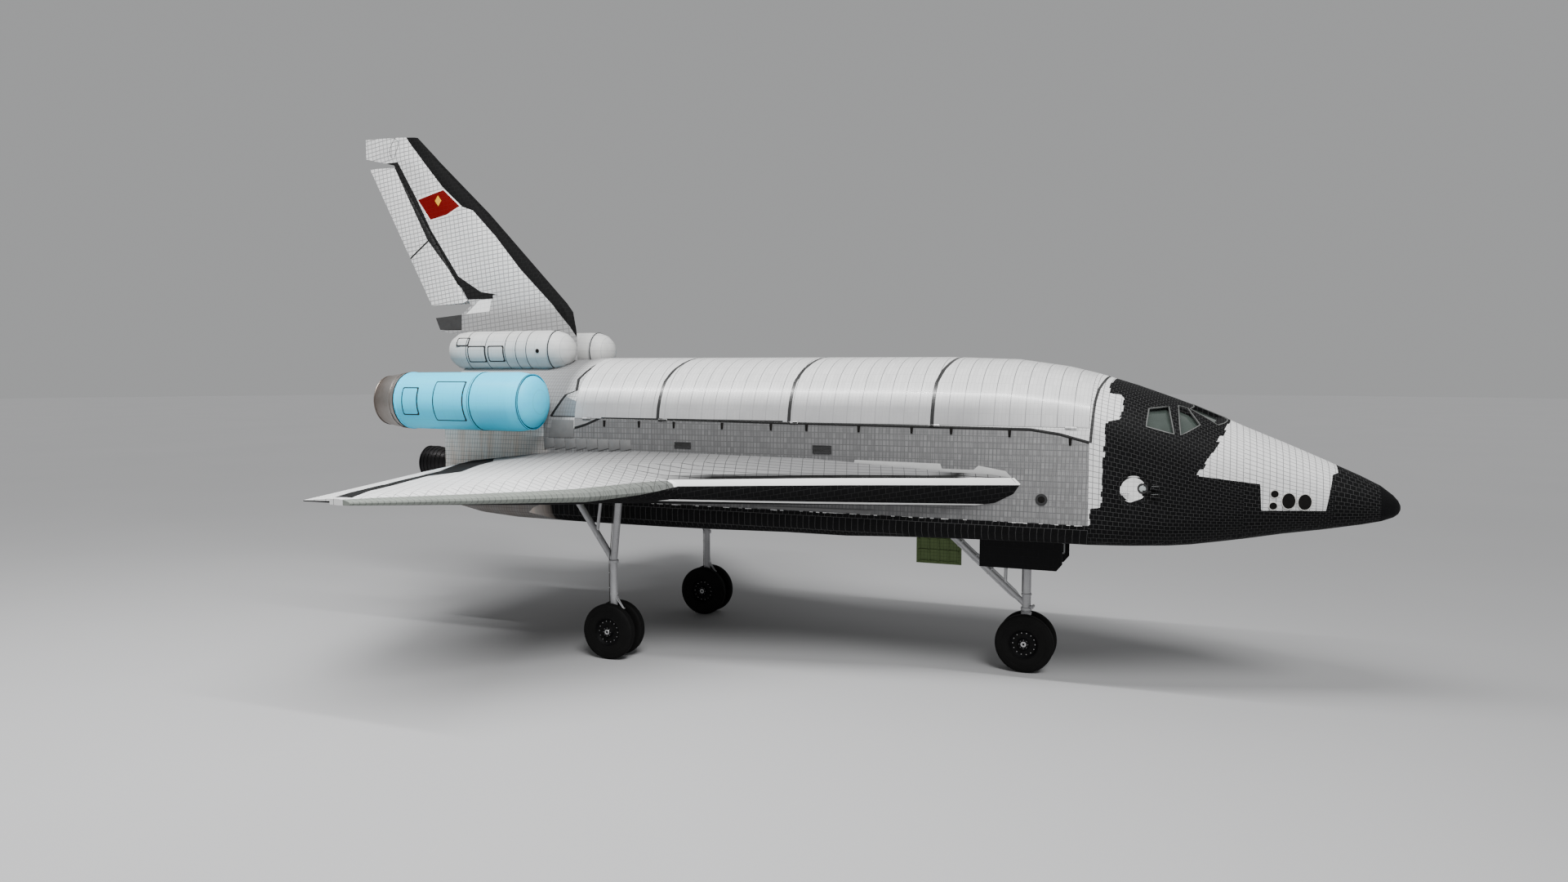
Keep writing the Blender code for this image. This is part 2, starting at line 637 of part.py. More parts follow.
def wing_ring(row, hand):
    off, nose, length, middle, half, thick, top, bottom, rear_top, rear_bottom = row
    rear = hinge_aft(off) - (elevon_radius(off) + RUNNING_GAP) / math.cos(math.atan(HINGE_SLOPE))
    points = [(rear, rear_top)]
    points.append((rear - 0.45 * (rear - thick), top - 0.30 * (top - rear_top)))
    points.append((thick, top))
    points.append((nose + length + 0.45 * (thick - nose - length), top - 0.18 * (top - middle - half)))
    share = (STRAKE_LIP_END - off) / (STRAKE_LIP_END - WING[0][0])
    lip = STRAKE_LIP * max(0.0, share)
    for step in range(7):
        angle = math.pi / 2 - math.pi * step / 6
        height = middle + half * math.sin(angle) + lip * math.cos(angle) ** 2
        points.append((nose + length * (1 - math.cos(angle)), height))
    points.append((thick, bottom))
    points.append((rear, rear_bottom))
    off = off + SEAT if off == WING[0][0] else off
    return [(station(aft), hand * off, height) for aft, height in points]


def build_wings(finish):
    for name, hand in (("wing_left", 1), ("wing_right", -1)):
        wing = place(name, loft([wing_ring(row, hand) for row in WING]), finish["white"])
        bay = MAIN_BAY
        reach = sorted((hand * bay["inner"], hand * bay["outer"]))
        cut(wing, place(f"strut_bay_{hand}", box(bay["front"], bay["rear"], *reach, 4.0, bay["ceiling"])))
        for off in (4.0, 6.1, 8.3, 10.6):
            join(wing, place(f"elevon_pad_{hand}_{off}", elevon_pad(off, hand)))


def elevon_pad(off, hand):
    """A flat bearing pad that reaches the elevon's round nose, square to the hinge line."""
    sweep = math.atan(HINGE_SLOPE)
    forward = Vector((math.cos(sweep), -hand * math.sin(sweep), 0.0))
    along = Vector((hand * math.sin(sweep), math.cos(sweep), 0.0)) * 1.0
    centre = Vector((station(hinge_aft(off)), hand * off, HINGE_HEIGHT))
    near = elevon_radius(off) + SEAT + 0.1 * abs(elevon_slope())
    reach = 0.18
    size = Vector((reach, 0.2, elevon_radius(off) * 0.7))
    middle = centre + forward * (near + reach / 2)
    turn = Matrix((forward, along, Vector((0, 0, 1)))).transposed().to_4x4()
    bm = bmesh.new()
    bmesh.ops.create_cube(bm, size=1.0, matrix=Matrix.Translation(middle) @ turn @ Matrix.Diagonal((*size, 1)))
    return bm


def elevon_slope():
    """How much the elevon's nose radius changes for each metre of span."""
    return (ELEVON_RADIUS["tip"] - ELEVON_RADIUS["root"]) / (WING[-1][0] - WING[0][0])


def elevon_ring(off, trail_off, hand):
    """A round nose square to the hinge line, then a wedge to the trailing edge."""
    sweep = math.atan(HINGE_SLOPE)
    radius = elevon_radius(off)
    centre = Vector((station(hinge_aft(off)), hand * off, HINGE_HEIGHT))
    forward = Vector((math.cos(sweep), -hand * math.sin(sweep), 0.0))
    ring = []
    for step in range(9):
        angle = math.pi / 2 - math.pi * step / 8
        ring.append(centre + forward * radius * math.cos(angle) + Vector((0, 0, radius * math.sin(angle))))
    rear = Vector((station(trailing_aft(trail_off)), hand * trail_off, HINGE_HEIGHT - 0.02))
    ring.append(rear - Vector((0, 0, 0.015)))
    ring.append(rear + Vector((0, 0, 0.015)))
    return ring


def build_elevons(finish):
    sweep = math.atan(HINGE_SLOPE)
    spans = {"inner": (ELEVON_ROOT, ELEVON_SPLIT - 0.02), "outer": (ELEVON_SPLIT + 0.02, ELEVON_TIP)}
    for side, hand in (("left", 1), ("right", -1)):
        for name, (start, end) in spans.items():
            ends = []
            for off in (start, end):
                chord = trailing_aft(off) - hinge_aft(off)
                ends.append((off, off + chord * math.cos(sweep) * math.sin(sweep)))
            if name == "inner":
                ends[0] = (start, start + 0.14)
            else:
                ends[1] = (end, SPAN / 2)
            rings = [elevon_ring(off, trail, hand) for off, trail in ends]
            origin = (station(hinge_aft(start)), hand * start, HINGE_HEIGHT)
            place(f"elevon_{name}_{side}", loft(rings), finish["white"], origin=origin)


def fin_ring(row):
    nose, nose_height, rear, rear_height, half, rear_half = row
    chord = rear - nose
    side = [(1.0, rear_half), (0.62, 0.85 * half), (0.36, half), (0.14, 0.8 * half), (0.04, 0.5 * half)]
    points = []
    for share, width in side:
        points.append((nose + chord * share, width, nose_height + (rear_height - nose_height) * share))
    points.append((nose, 0.0, nose_height))
    for aft, width, height in reversed(points[:5]):
        points.append((aft, -width, height))
    return [(station(aft), width, height) for aft, width, height in points]


def rudder_axis():
    low, top = RUDDER_HINGE_LOW, RUDDER_HINGE_TOP
    start = Vector((station(low[0]), 0.0, low[1]))
    end = Vector((station(top[0]), 0.0, top[1]))
    return start, end


def rudder_ring(share):
    """Round nose square to the hinge line, and a thick trailing edge."""
    start, end = rudder_axis()
    along = (end - start).normalized()
    forward = Vector((along.z, 0.0, -along.x))
    centre = start.lerp(end, share)
    radius = rudder_radius(share)
    ring = []
    for step in range(9):
        angle = math.pi / 2 - math.pi * step / 8
        ring.append(centre + forward * radius * math.cos(angle) + Vector((0, radius * math.sin(angle), 0)))
    low, top = RUDDER_TRAIL_LOW, RUDDER_TRAIL_TOP
    rear = Vector((station(low[0]), 0, low[1])).lerp(Vector((station(top[0]), 0, top[1])), share)
    ring.append(rear - Vector((0, 0.04, 0)))
    ring.append(rear + Vector((0, 0.04, 0)))
    return ring


def rudder_radius(share):
    return RUDDER_RADIUS["low"] + (RUDDER_RADIUS["top"] - RUDDER_RADIUS["low"]) * share


def fin_rear(height):
    """Where the fin ends ahead of the rudder's round nose, at a height."""
    low, top = RUDDER_HINGE_LOW, RUDDER_HINGE_TOP
    share = (height - low[1]) / (top[1] - low[1])
    hinge = low[0] + (top[0] - low[0]) * share
    lean = math.atan2(top[0] - low[0], top[1] - low[1])
    return hinge - (rudder_radius(share) + RUNNING_GAP) / math.cos(lean)


def build_fin(finish):
    rows = [list(row) for row in FIN]
    for row in rows:
        row[2] = row[2] or fin_rear(row[3])
    rows[0][1] += SEAT
    rows[0][3] += SEAT
    fin = place("fin", loft([fin_ring(row) for row in rows]), finish["white"])
    start, end = rudder_axis()
    along = (end - start).normalized()
    forward = Vector((along.z, 0.0, -along.x))
    for number, share in enumerate((0.15, 0.55, 0.9)):
        radius = rudder_radius(share - 0.02)
        size = Vector((0.20, 0.12, 0.2))
        middle = start.lerp(end, share) + forward * (radius + SEAT + size.x / 2)
        turn = Matrix((forward, Vector((0, 1, 0)), along)).transposed().to_4x4()
        bm = bmesh.new()
        bmesh.ops.create_cube(bm, size=1.0,
                              matrix=Matrix.Translation(middle) @ turn @ Matrix.Diagonal((*size, 1)))
        join(fin, place(f"rudder_pad_{number}", bm))
    for name, share in (("rudder_lower", (0.0, RUDDER_SPLIT - 0.003)), ("rudder_upper", (RUDDER_SPLIT, 1.0))):
        place(name, loft([rudder_ring(s) for s in share]), finish["white"], origin=start)
    join(fin, place("fin_shelf", slab(SHELF, -SHELF_HALF_WIDTH, SHELF_HALF_WIDTH)))
    outline = [(aft + SEAT if aft == CHUTE[0][0] else aft, height) for aft, height in CHUTE]
    place("drag_chute_housing", slab(outline, -CHUTE_HALF_WIDTH, CHUTE_HALF_WIDTH), finish["black"],
          smooth=False)


def build_body_flap(finish):
    flap = FLAP
    rings = []
    for off in (-flap["half_width"], flap["half_width"]):
        ring = []
        for step in range(9):
            angle = math.pi / 2 - math.pi * step / 8
            ring.append((station(flap["hinge_aft"] - flap["radius"] * math.cos(angle)), off,
                         flap["hinge_height"] + flap["radius"] * math.sin(angle)))
        for sign in (-1, 1):
            ring.append((station(flap["rear"]), off, flap["hinge_height"] + sign * flap["rear_half"]))
        rings.append(ring)
    place("body_flap", loft(rings), finish["black"],
          origin=(station(flap["hinge_aft"]), 0.0, flap["hinge_height"]))


def tyre_outline(centre_off):
    half = TYRE_WIDTH / 2
    inner = RIM_RADIUS + SEAT
    return [(centre_off - half * 0.9, inner), (centre_off - half, 0.70), (centre_off - half * 0.9, 0.84),
            (centre_off - half * 0.45, WHEEL_RADIUS), (centre_off + half * 0.45, WHEEL_RADIUS),
            (centre_off + half * 0.9, 0.84), (centre_off + half, 0.70), (centre_off + half * 0.9, inner)]


def hub_outline():
    """Two wheel hubs on one turning axle, symmetric about the leg."""
    inner, outer, cap = 0.175, 0.455, 0.475
    half = [(cap, 0.0), (cap, 0.10), (outer, 0.10), (outer, RIM_RADIUS), (inner, RIM_RADIUS),
            (inner, AXLE_RADIUS)]
    return [(-along, radius) for along, radius in half] + list(reversed(half))


def build_wheels(name, aft, off, finish):
    centre = (station(aft), off, WHEEL_RADIUS)
    turned(f"{name}_wheel_hubs", hub_outline(), centre, (0, 1, 0), WHEEL_SIDES, finish["grey"])
    for side, sign in (("left", 1), ("right", -1)):
        turned(f"{name}_tyre_{side}", tyre_outline(sign * TYRE_OFF), centre, (0, 1, 0), WHEEL_SIDES,
               finish["rubber"])


def axle_barrel(aft, off):
    """The bearing at the foot of a leg, across the axle."""
    return rod((station(aft), off - 0.16, WHEEL_RADIUS), (station(aft), off + 0.16, WHEEL_RADIUS), 0.15)


def axle_bore(aft, off):
    return rod((station(aft), off - 0.3, WHEEL_RADIUS), (station(aft), off + 0.3, WHEEL_RADIUS),
               AXLE_RADIUS + 0.001, WHEEL_SIDES)


def build_nose_gear(finish):
    aft, ceiling = NOSE_GEAR_AFT, NOSE_WELL["ceiling"] - SEAT
    x = station(aft)
    foot = place("nose_steered_leg", rod((x, 0, WHEEL_RADIUS), (x, 0, STEER_PIVOT), LEG_RADIUS),
                 finish["silver"], origin=(x, 0, STEER_PIVOT))
    join(foot, place("nose_barrel", axle_barrel(aft, 0.0)))
    cut(foot, place("nose_bore", axle_bore(aft, 0.0)))
    leg = place("nose_leg", rod((x, 0, STEER_PIVOT + SEAT * 2), (x, 0, ceiling - 0.1), LEG_RADIUS + 0.02),
                finish["silver"])
    join(leg, place("nose_leg_head", box(aft - 0.25, aft + 0.25, -0.6, 0.6, ceiling - 0.22, ceiling)))
    low, high = (station(10.22), 0, 2.06), (station(13.0), 0, 4.52)
    brace = place("nose_drag_brace", rod(low, high, BRACE_RADIUS), finish["silver"])
    join(brace, place("nose_brace_head", box(12.78, 13.18, -0.4, 0.4, 4.44, ceiling)))
    room = rod((x, 0, 1.5), (x, 0, 4.0), LEG_RADIUS + 0.02 + SEAT)
    cut(brace, place("nose_brace_trim", room))
    top = Vector((station(10.85), 0, ceiling))
    foot_point = Vector(low).lerp(Vector(high), 0.24)
    actuator = place("nose_actuator", rod(foot_point, top - Vector((0, 0, 0.1)), ACTUATOR_RADIUS),
                     finish["silver"])
    join(actuator, place("nose_actuator_head", box(10.75, 10.95, -0.2, 0.2, ceiling - 0.2, ceiling)))
    cut(actuator, place("nose_actuator_trim", rod(low, high, BRACE_RADIUS + SEAT)))
    build_wheels("nose", aft, 0.0, finish)


def build_main_gear(finish):
    ceiling = MAIN_BAY["ceiling"] - SEAT
    aft = MAIN_GEAR_AFT
    for side, hand in (("left", 1), ("right", -1)):
        off = hand * MAIN_GEAR_OFF
        x = station(aft)
        leg = place(f"main_leg_{side}", rod((x, off, WHEEL_RADIUS), (x, off, 3.25), LEG_RADIUS),
                    finish["silver"])
        head = Vector((station(22.90), off, 5.45))
        join(leg, place(f"main_strut_{side}", rod((x, off, 3.15), head, LEG_RADIUS)))
        join(leg, place(f"main_head_{side}", box(22.70, 23.10, off - 0.4, off + 0.4, ceiling - 0.25,
                                                 ceiling)))
        join(leg, place(f"main_barrel_{side}", axle_barrel(aft, off)))
        cut(leg, place(f"main_bore_{side}", axle_bore(aft, off)))
        low, high = Vector((station(23.14), off, 3.20)), Vector((station(24.62), off, 5.30))
        brace = place(f"main_drag_brace_{side}", rod(low, high, BRACE_RADIUS + 0.015), finish["silver"])
        join(brace, place(f"main_brace_head_{side}", box(24.45, 24.85, off - 0.3, off + 0.3, 5.20,
                                                         ceiling)))
        cut(brace, place(f"main_brace_trim_a_{side}", rod((x, off, 2.6), (x, off, 3.25 + SEAT),
                                                         LEG_RADIUS + SEAT)))
        cut(brace, place(f"main_brace_trim_b_{side}", rod((x, off, 3.15), head, LEG_RADIUS + SEAT)))
        foot_point = low.lerp(high, 0.42)
        top = Vector((station(23.55), off, ceiling))
        actuator = place(f"main_actuator_{side}", rod(foot_point, top - Vector((0, 0, 0.08)),
                                                      ACTUATOR_RADIUS), finish["silver"])
        join(actuator, place(f"main_actuator_head_{side}", box(23.45, 23.65, off - 0.15, off + 0.15,
                                                               ceiling - 0.16, ceiling)))
        cut(actuator, place(f"main_actuator_trim_{side}", rod(low, high, BRACE_RADIUS + 0.015 + SEAT)))
        build_wheels(f"main_{side}", aft, off, finish)


def keel_at(aft):
    return blend(HULL, aft)[2]


def build_gear_doors(finish):
    for name, hand in (("nose_door_front_left", 1), ("nose_door_front_right", -1)):
        outline = [(9.03, keel_at(9.03) - SEAT), (10.5, keel_at(10.5) - SEAT),
                   (11.55, keel_at(11.55) - SEAT), (11.55, 3.37), (9.20, 3.37), (9.03, 3.58)]
        reach = sorted((hand * (NOSE_WELL["half_width"] + 0.01), hand * (NOSE_WELL["half_width"] + 0.06)))
        place(name, slab(outline, *reach), finish["black"], smooth=False)
    outline = [(12.50, keel_at(12.50) - SEAT), (12.6, keel_at(12.6) - SEAT), (14.02, keel_at(14.02) - SEAT),
               (14.02, 3.04), (12.50, 3.04)]
    place("nose_door_aft", slab(outline, NOSE_WELL["half_width"] + 0.01, NOSE_WELL["half_width"] + 0.06),
          finish["green"], smooth=False)


def build():
    for thing in list(bpy.data.objects):
        bpy.data.objects.remove(thing)
    fresh_collection(PARTS)
    cutters = fresh_collection(CUTTERS)
    cutters.hide_render = True
    finish = {
        "tile": paint("black tile", (0.03, 0.03, 0.032), 0.6),
        "white": paint("white tile", (0.80, 0.80, 0.79), 0.55),
        "blue": paint("pale blue paint", (0.28, 0.62, 0.80), 0.4),
        "steel": paint("heated steel", (0.33, 0.28, 0.25), 0.35, 1.0),
        "silver": paint("silver paint", (0.62, 0.62, 0.63), 0.4, 0.5),
        "grey": paint("grey paint", (0.22, 0.23, 0.24), 0.5),
        "black": paint("black paint", (0.02, 0.02, 0.02), 0.5),
        "green": paint("green primer", (0.17, 0.24, 0.09), 0.6),
        "rubber": paint("tyre rubber", (0.012, 0.012, 0.012), 0.8),
        "glass": paint("window glass", (0.20, 0.23, 0.25), 0.1),
    }
    hull = build_forward_fuselage(finish)
    build_crew_hatch(finish, hull)
    build_cabin(finish)
    trough = build_mid_fuselage(finish)
    build_door_hinges(trough, build_bay_doors(finish))
    build_aft_fuselage(finish)
    build_side_pods(finish)
    build_top_pods(finish)
    build_bells(finish)
    build_wings(finish)
    build_elevons(finish)
    build_fin(finish)
    build_body_flap(finish)
    build_nose_gear(finish)
    build_main_gear(finish)
    build_gear_doors(finish)


build()
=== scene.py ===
# %% [markdown]
# # A shuttle test aircraft, dressed from its CAD frame
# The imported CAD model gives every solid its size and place. This lesson adds what a solid can't show:
# tiles, felt panels, window frames, tread, seats and the many small fittings of a real spaceplane.
# Loading the frame comes first, because each piece below is placed by the CAD nodes it sits on.

# %% Load the CAD frame
import json
import math
from functools import reduce
from operator import and_, or_
import bmesh
import bpy
from mathutils import Matrix, Vector
from mathutils.bvhtree import BVHTree


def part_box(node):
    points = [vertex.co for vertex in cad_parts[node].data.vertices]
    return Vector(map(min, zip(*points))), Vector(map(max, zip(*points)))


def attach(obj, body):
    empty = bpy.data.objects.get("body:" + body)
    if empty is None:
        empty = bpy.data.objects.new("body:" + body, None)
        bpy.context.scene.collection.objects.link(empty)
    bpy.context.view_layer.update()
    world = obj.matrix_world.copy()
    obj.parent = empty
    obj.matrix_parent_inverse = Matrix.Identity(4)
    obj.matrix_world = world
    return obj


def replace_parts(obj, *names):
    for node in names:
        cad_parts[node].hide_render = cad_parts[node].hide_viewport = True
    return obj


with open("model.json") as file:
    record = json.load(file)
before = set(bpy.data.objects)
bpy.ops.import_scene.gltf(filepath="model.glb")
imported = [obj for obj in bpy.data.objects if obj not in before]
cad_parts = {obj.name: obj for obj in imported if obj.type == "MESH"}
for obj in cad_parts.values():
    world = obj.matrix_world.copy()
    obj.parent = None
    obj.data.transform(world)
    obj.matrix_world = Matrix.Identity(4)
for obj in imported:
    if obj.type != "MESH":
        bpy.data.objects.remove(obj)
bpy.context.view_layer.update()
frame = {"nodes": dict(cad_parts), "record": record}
body_of = {node: body for body, nodes in frame["record"]["behaviour"]["bodies"].items() for node in nodes}

# %% [markdown]
# ## Camera
# A pinhole camera was fitted to the photograph with the real length and span. A lens of about 24 mm
# on a 36 mm sensor gives the same strong perspective: the near wheels look larger than the far ones.

# %% Camera
NOSE_X = 18.185  # X of the nose tip; places along the body are given as metres aft of it


def station(aft):
    """X of a place given in metres aft of the nose tip."""
    return NOSE_X - aft


lens = bpy.data.cameras.new("camera")
lens.lens = 24.4455
lens.sensor_width = 36
lens.clip_end = 900
camera = bpy.data.objects.new("camera", lens)
camera.location = (13.2883, -33.7129, 9.4663)
camera.rotation_euler = (math.pi / 2 - 0.066, 0, 0.3831)
bpy.context.scene.collection.objects.link(camera)
bpy.context.scene.camera = camera
print("camera", round(camera.location.length, 2), "m from the middle of the aircraft")

# %% [markdown]
# ## Floor and light
# White tiles need a background that is darker than they are, and black ones a lighter one, so the
# floor is a pale grey. A long strip lamp above the starboard side draws the bright line that runs
# along the shoulder of the bay doors, and a large distant lamp from the front right lights the rest.
# The sky gives the soft fill. Its grey matches the floor, so the horizon nearly disappears.

# %% Floor and light
floor_mesh = bpy.data.meshes.new("floor")
bm = bmesh.new()
bmesh.ops.create_circle(bm, cap_ends=True, segments=96, radius=420)
bm.to_mesh(floor_mesh)
bm.free()
floor = bpy.data.objects.new("floor", floor_mesh)
bpy.context.scene.collection.objects.link(floor)

world = bpy.data.worlds.new("studio")
world.use_nodes = True
sky = world.node_tree.nodes["Background"].inputs
sky["Color"].default_value, sky["Strength"].default_value = (0.6, 0.605, 0.61, 1), 0.62
bpy.context.scene.world = world


def hang(lamp, place, turn):
    """Put a lamp into the scene."""
    item = bpy.data.objects.new(lamp.name, lamp)
    item.location, item.rotation_euler = place, turn
    bpy.context.scene.collection.objects.link(item)


strip = bpy.data.lights.new("strip_lamp", "AREA")
strip.shape = "RECTANGLE"
strip.size, strip.size_y, strip.energy = 44, 1.2, 20000
hang(strip, (-4, -12.5, 31), (-math.atan2(10, 22.3), 0, 0))
key = bpy.data.lights.new("key_lamp", "SUN")
key.energy, key.angle = 2.5, math.radians(24)
hang(key, (0, 0, 0), Vector((-0.42, 0.52, -0.74)).to_track_quat("-Z", "Y").to_euler())

# %% [markdown]
# ## A small language for finishes
# Each finish is a network of shader nodes. Written node by node it would be hard to read, so one
# class wraps a socket and lets shader maths be written as Python, and another makes the nodes.
# Every pattern reads Object coordinates, which are metres in the aircraft's own frame here.

# %% Shader maths as Python
class Signal:
    """A value, colour or vector inside a finish. Arithmetic on values adds Math nodes."""

    def __init__(self, finish, made, output):
        self.finish, self.made, self.socket = finish, made, made.outputs[output]

    def also(self, output):
        return Signal(self.finish, self.made, output)

    def maths(self, operation, *values):
        return self.finish.node("Math", {"operation": operation}, dict(enumerate(values)))

    def __gt__(self, other): return self.maths("GREATER_THAN", self, other)
    def __lt__(self, other): return self.maths("LESS_THAN", self, other)
    def __abs__(self): return self.maths("ABSOLUTE", self)
    def angle(self, across): return self.maths("ARCTAN2", self, across)


def operator_pair(operation):
    """The method for signal-and-value, and the one for value-and-signal."""
    return (lambda self, other: self.maths(operation, self, other),
            lambda self, other: self.maths(operation, other, self))


for sign, operation in {"add": "ADD", "sub": "SUBTRACT", "mul": "MULTIPLY", "truediv": "DIVIDE",
                        "and": "MINIMUM", "or": "MAXIMUM"}.items():
    forward, backward = operator_pair(operation)
    setattr(Signal, f"__{sign}__", forward)
    setattr(Signal, f"__r{sign}__", backward)


class Finish:
    """One procedural material, with the aircraft's own directions as ready-made signals."""

    def __init__(self, name, slot):
        self.material = bpy.data.materials.new(name)
        self.material.use_nodes = True
        self.tree = self.material.node_tree
        self.slot = slot
        self.place = self.node("TexCoord", output="Object")
        x = self.node("SeparateXYZ", sockets={0: self.place})
        self.aft, self.off, self.height = NOSE_X - x, x.also(1), x.also(2)

    def feed(self, socket, value):
        if isinstance(value, Signal):
            self.tree.links.new(value.socket, socket)
        elif socket.type == "RGBA":  # one number is a grey
            socket.default_value = (*(value if isinstance(value, tuple) else (value,) * 3), 1)
        else:
            socket.default_value = value

    def node(self, kind, settings=None, sockets=None, output=0):
        made = self.tree.nodes.new("ShaderNode" + kind)
        for name, value in (settings or {}).items():
            if name == "stops":
                ramp = made.color_ramp.elements
                for index, (where, colour) in enumerate(value):
                    stop = ramp[index] if index < 2 else ramp.new(where)
                    stop.position, stop.color = where, colour
            else:
                setattr(made, name, value)
        for name, value in (sockets or {}).items():
            self.feed(made.inputs[name], value)
        return Signal(self, made, output)

    def mix(self, share, first, second):
        return self.node("Mix", {"data_type": "RGBA"}, {0: share, 6: first, 7: second}, output=2)

    def cover(self, share, colour):
        """Lay one more colour over the finish's own colour."""
        self.colour = self.mix(share, self.colour, colour)

    def line(self, value, points):
        """A bent line through (value, result) points, as a ramp."""
        start, end = points[0][0], points[-1][0]
        low, high = min(y for _, y in points), max(y for _, y in points)
        span = high - low
        stops = [((x - start) / (end - start), (*[(y - low) / span] * 3, 1)) for x, y in points]
        share = self.node("ValToRGB", {"stops": stops}, {0: (value - start) / (end - start)})
        return share * span + low

    def noise(self, scale, detail, vector=None, roughness=0.5):
        return self.node("TexNoise", {}, {"Vector": vector or self.place, "Scale": scale,
                                          "Detail": detail, "Roughness": roughness})

    def vector(self, x, y=0, z=0):
        return self.node("CombineXYZ", sockets={0: x, 1: y, 2: z})

    def random(self, step):
        """One random value for each whole number."""
        whole = self.vector(step.maths("FLOOR", step))
        return self.node("TexWhiteNoise", {"noise_dimensions": "3D"}, {"Vector": whole})

    def tiles(self, along, across, width, row, joint, stagger=0.5):
        """Tiles laid in rows: (1 in the joints, a random tint for each tile)."""
        laid = self.node("TexBrick", {"offset": stagger}, {
            "Vector": self.vector(along, across), "Color1": 0, "Color2": 1,
            "Mortar": 0.5, "Scale": 1, "Mortar Size": joint / 2, "Mortar Smooth": 0.3,
            "Bias": 0, "Brick Width": width, "Row Height": row})
        return laid.also("Fac"), laid

    def facing(self, axis):
        """How far the surface faces along one of the aircraft's directions, from -1 to 1."""
        return self.node("SeparateXYZ", sockets={0: self.place.also("Normal")}, output=axis)

    def inward(self, middle):
        """1 where a shell's surface faces its own lengthwise middle line."""
        return (self.facing(1) * self.off + self.facing(2) * (self.height - middle)) < -0.02

    def stroke(self, value, at, wide):
        """1 in a narrow band round one value."""
        return abs(value - at) < wide / 2

    def inside(self, along, across, corners):
        """1 inside a convex outline whose corners run anticlockwise."""
        here, parts = self.vector(along, across), []
        for (x0, y0), (x1, y1) in zip(corners, corners[1:] + corners[:1]):
            side = self.node("VectorMath", {"operation": "DOT_PRODUCT"},
                             {0: here, 1: (y0 - y1, x1 - x0, 0)}, output="Value")
            parts.append(side > (y0 - y1) * x0 + (x1 - x0) * y0)
        return reduce(and_, parts)

    def paint(self, colour, roughness, relief=None, depth=0.004, strength=0.6,
              specular_ior_level=0.3, **steady):
        """Join colour, roughness and relief to the surface, with plain numbers for the rest."""
        shader = self.tree.nodes["Principled BSDF"]
        self.feed(shader.inputs["Base Color"], colour)
        self.feed(shader.inputs["Roughness"], roughness)
        steady["specular_ior_level"] = specular_ior_level
        for name, value in steady.items():
            shader.inputs[name.replace("_", " ").title().replace("Ior", "IOR")].default_value = value
        if relief is not None:
            bump = self.node("Bump", {}, {"Height": relief, "Distance": depth, "Strength": strength})
            self.feed(shader.inputs["Normal"], bump)
        return self


print("finish kit ready")

# %% [markdown]
# ## The tiled skin
# A shuttle wears thousands of tiles. White ones are laid as bigger felt-backed panels, black ones as
# small bricks, each a slightly different shade, with gaps that catch the light. One function lays
# both kinds and a mask chooses between them, so the border between black and white stays crisp.

# %% Tiled skin
TILE_WHITE = (0.8, 0.8, 0.795)
TILE_WHITE_DIM = 0.56
JOINT_ON_WHITE = (0.12, 0.12, 0.125)
TILE_BLACK = (0.001, 0.001, 0.0012)
TILE_BLACK_WORN = (0.0025, 0.0025, 0.003)
JOINT_ON_BLACK = 0.1
WALL = 2.8  # half width of the body's flat side
MIDDLE_UP = 7.6  # height of the body's middle line, where the flat side ends and the crown begins
CROWN_RISE, CROWN_REACH = 2.3, 2.55  # the crown's height, and the mean radius of its arc
WELL_GREEN = (0.17, 0.21, 0.11), (0.05, 0.06, 0.035)  # a wheel well's paint and its joints
TILE_GLOSS = 0.12  # tiles, tyres and black paint mirror little of the sky


def across_belly(finish, rows):
    """On a surface that faces down, rows are counted out from the middle."""
    return rows + (finish.off - rows) * (finish.facing(2) < -0.8)


def girth(finish):
    """Distance up the side of the body and on over its crown."""
    over = ((finish.height - MIDDLE_UP) / CROWN_RISE).angle(abs(finish.off) / WALL)
    return across_belly(finish, (finish.height & MIDDLE_UP) + (over | 0) * CROWN_REACH)


def tiled_skin(finish, black, along, across, white, dark=(0.15, 0.13), lay=None,
               joint_white=0.45, joint_dark=0.45, joint=0.014):
    """Colour, roughness, relief and gaps of white panels and black bricks, parted by a mask."""
    white_gap, white_tint = finish.tiles(along, across, *white, joint, stagger=0)
    dark_gap, dark_tint = finish.tiles(*(lay or (along, across)), *dark, 0.01)
    soot = finish.noise(0.45, 5, roughness=0.62)
    speck = finish.noise(9, 3)
    light = finish.mix(white_tint * 0.22 + soot * 0.35 + speck * 0.12, TILE_WHITE, TILE_WHITE_DIM)
    light = finish.mix(white_gap * joint_white, light, JOINT_ON_WHITE)
    deep = finish.mix(dark_tint * 0.7 + speck * 0.35, TILE_BLACK, TILE_BLACK_WORN)
    deep = finish.mix(dark_gap * joint_dark, deep, JOINT_ON_BLACK)
    colour = finish.mix(black, light, deep)
    gap = dark_gap * black + white_gap * (1 - black)
    roughness = 0.44 + speck * 0.16 + gap * 0.2 + black * 0.16
    relief = 1 - gap + dark_tint * 0.25 + speck * 0.12
    return colour, roughness, relief, gap


# %% [markdown]
# ## Nose, cabin and cheek patches
# The cabin and the nose tip are black brick, and a white patch covers the nose ahead of the windows
# and round the thruster ports. Behind the cabin the body turns white, above a black belly. The
# borders are bent lines in the side view, and a random step for each tile row makes them ragged.

# %% Nose finish
BELLY_TOP = 5.08


def ragged(finish, value, row, reach):
    """A small random step for each row of tiles."""
    return (finish.random(value / row) - 0.5) * reach


def belly_line(finish):
    """The ragged border between the black belly and the sides."""
    return BELLY_TOP + ragged(finish, finish.aft, 0.11, 0.05)


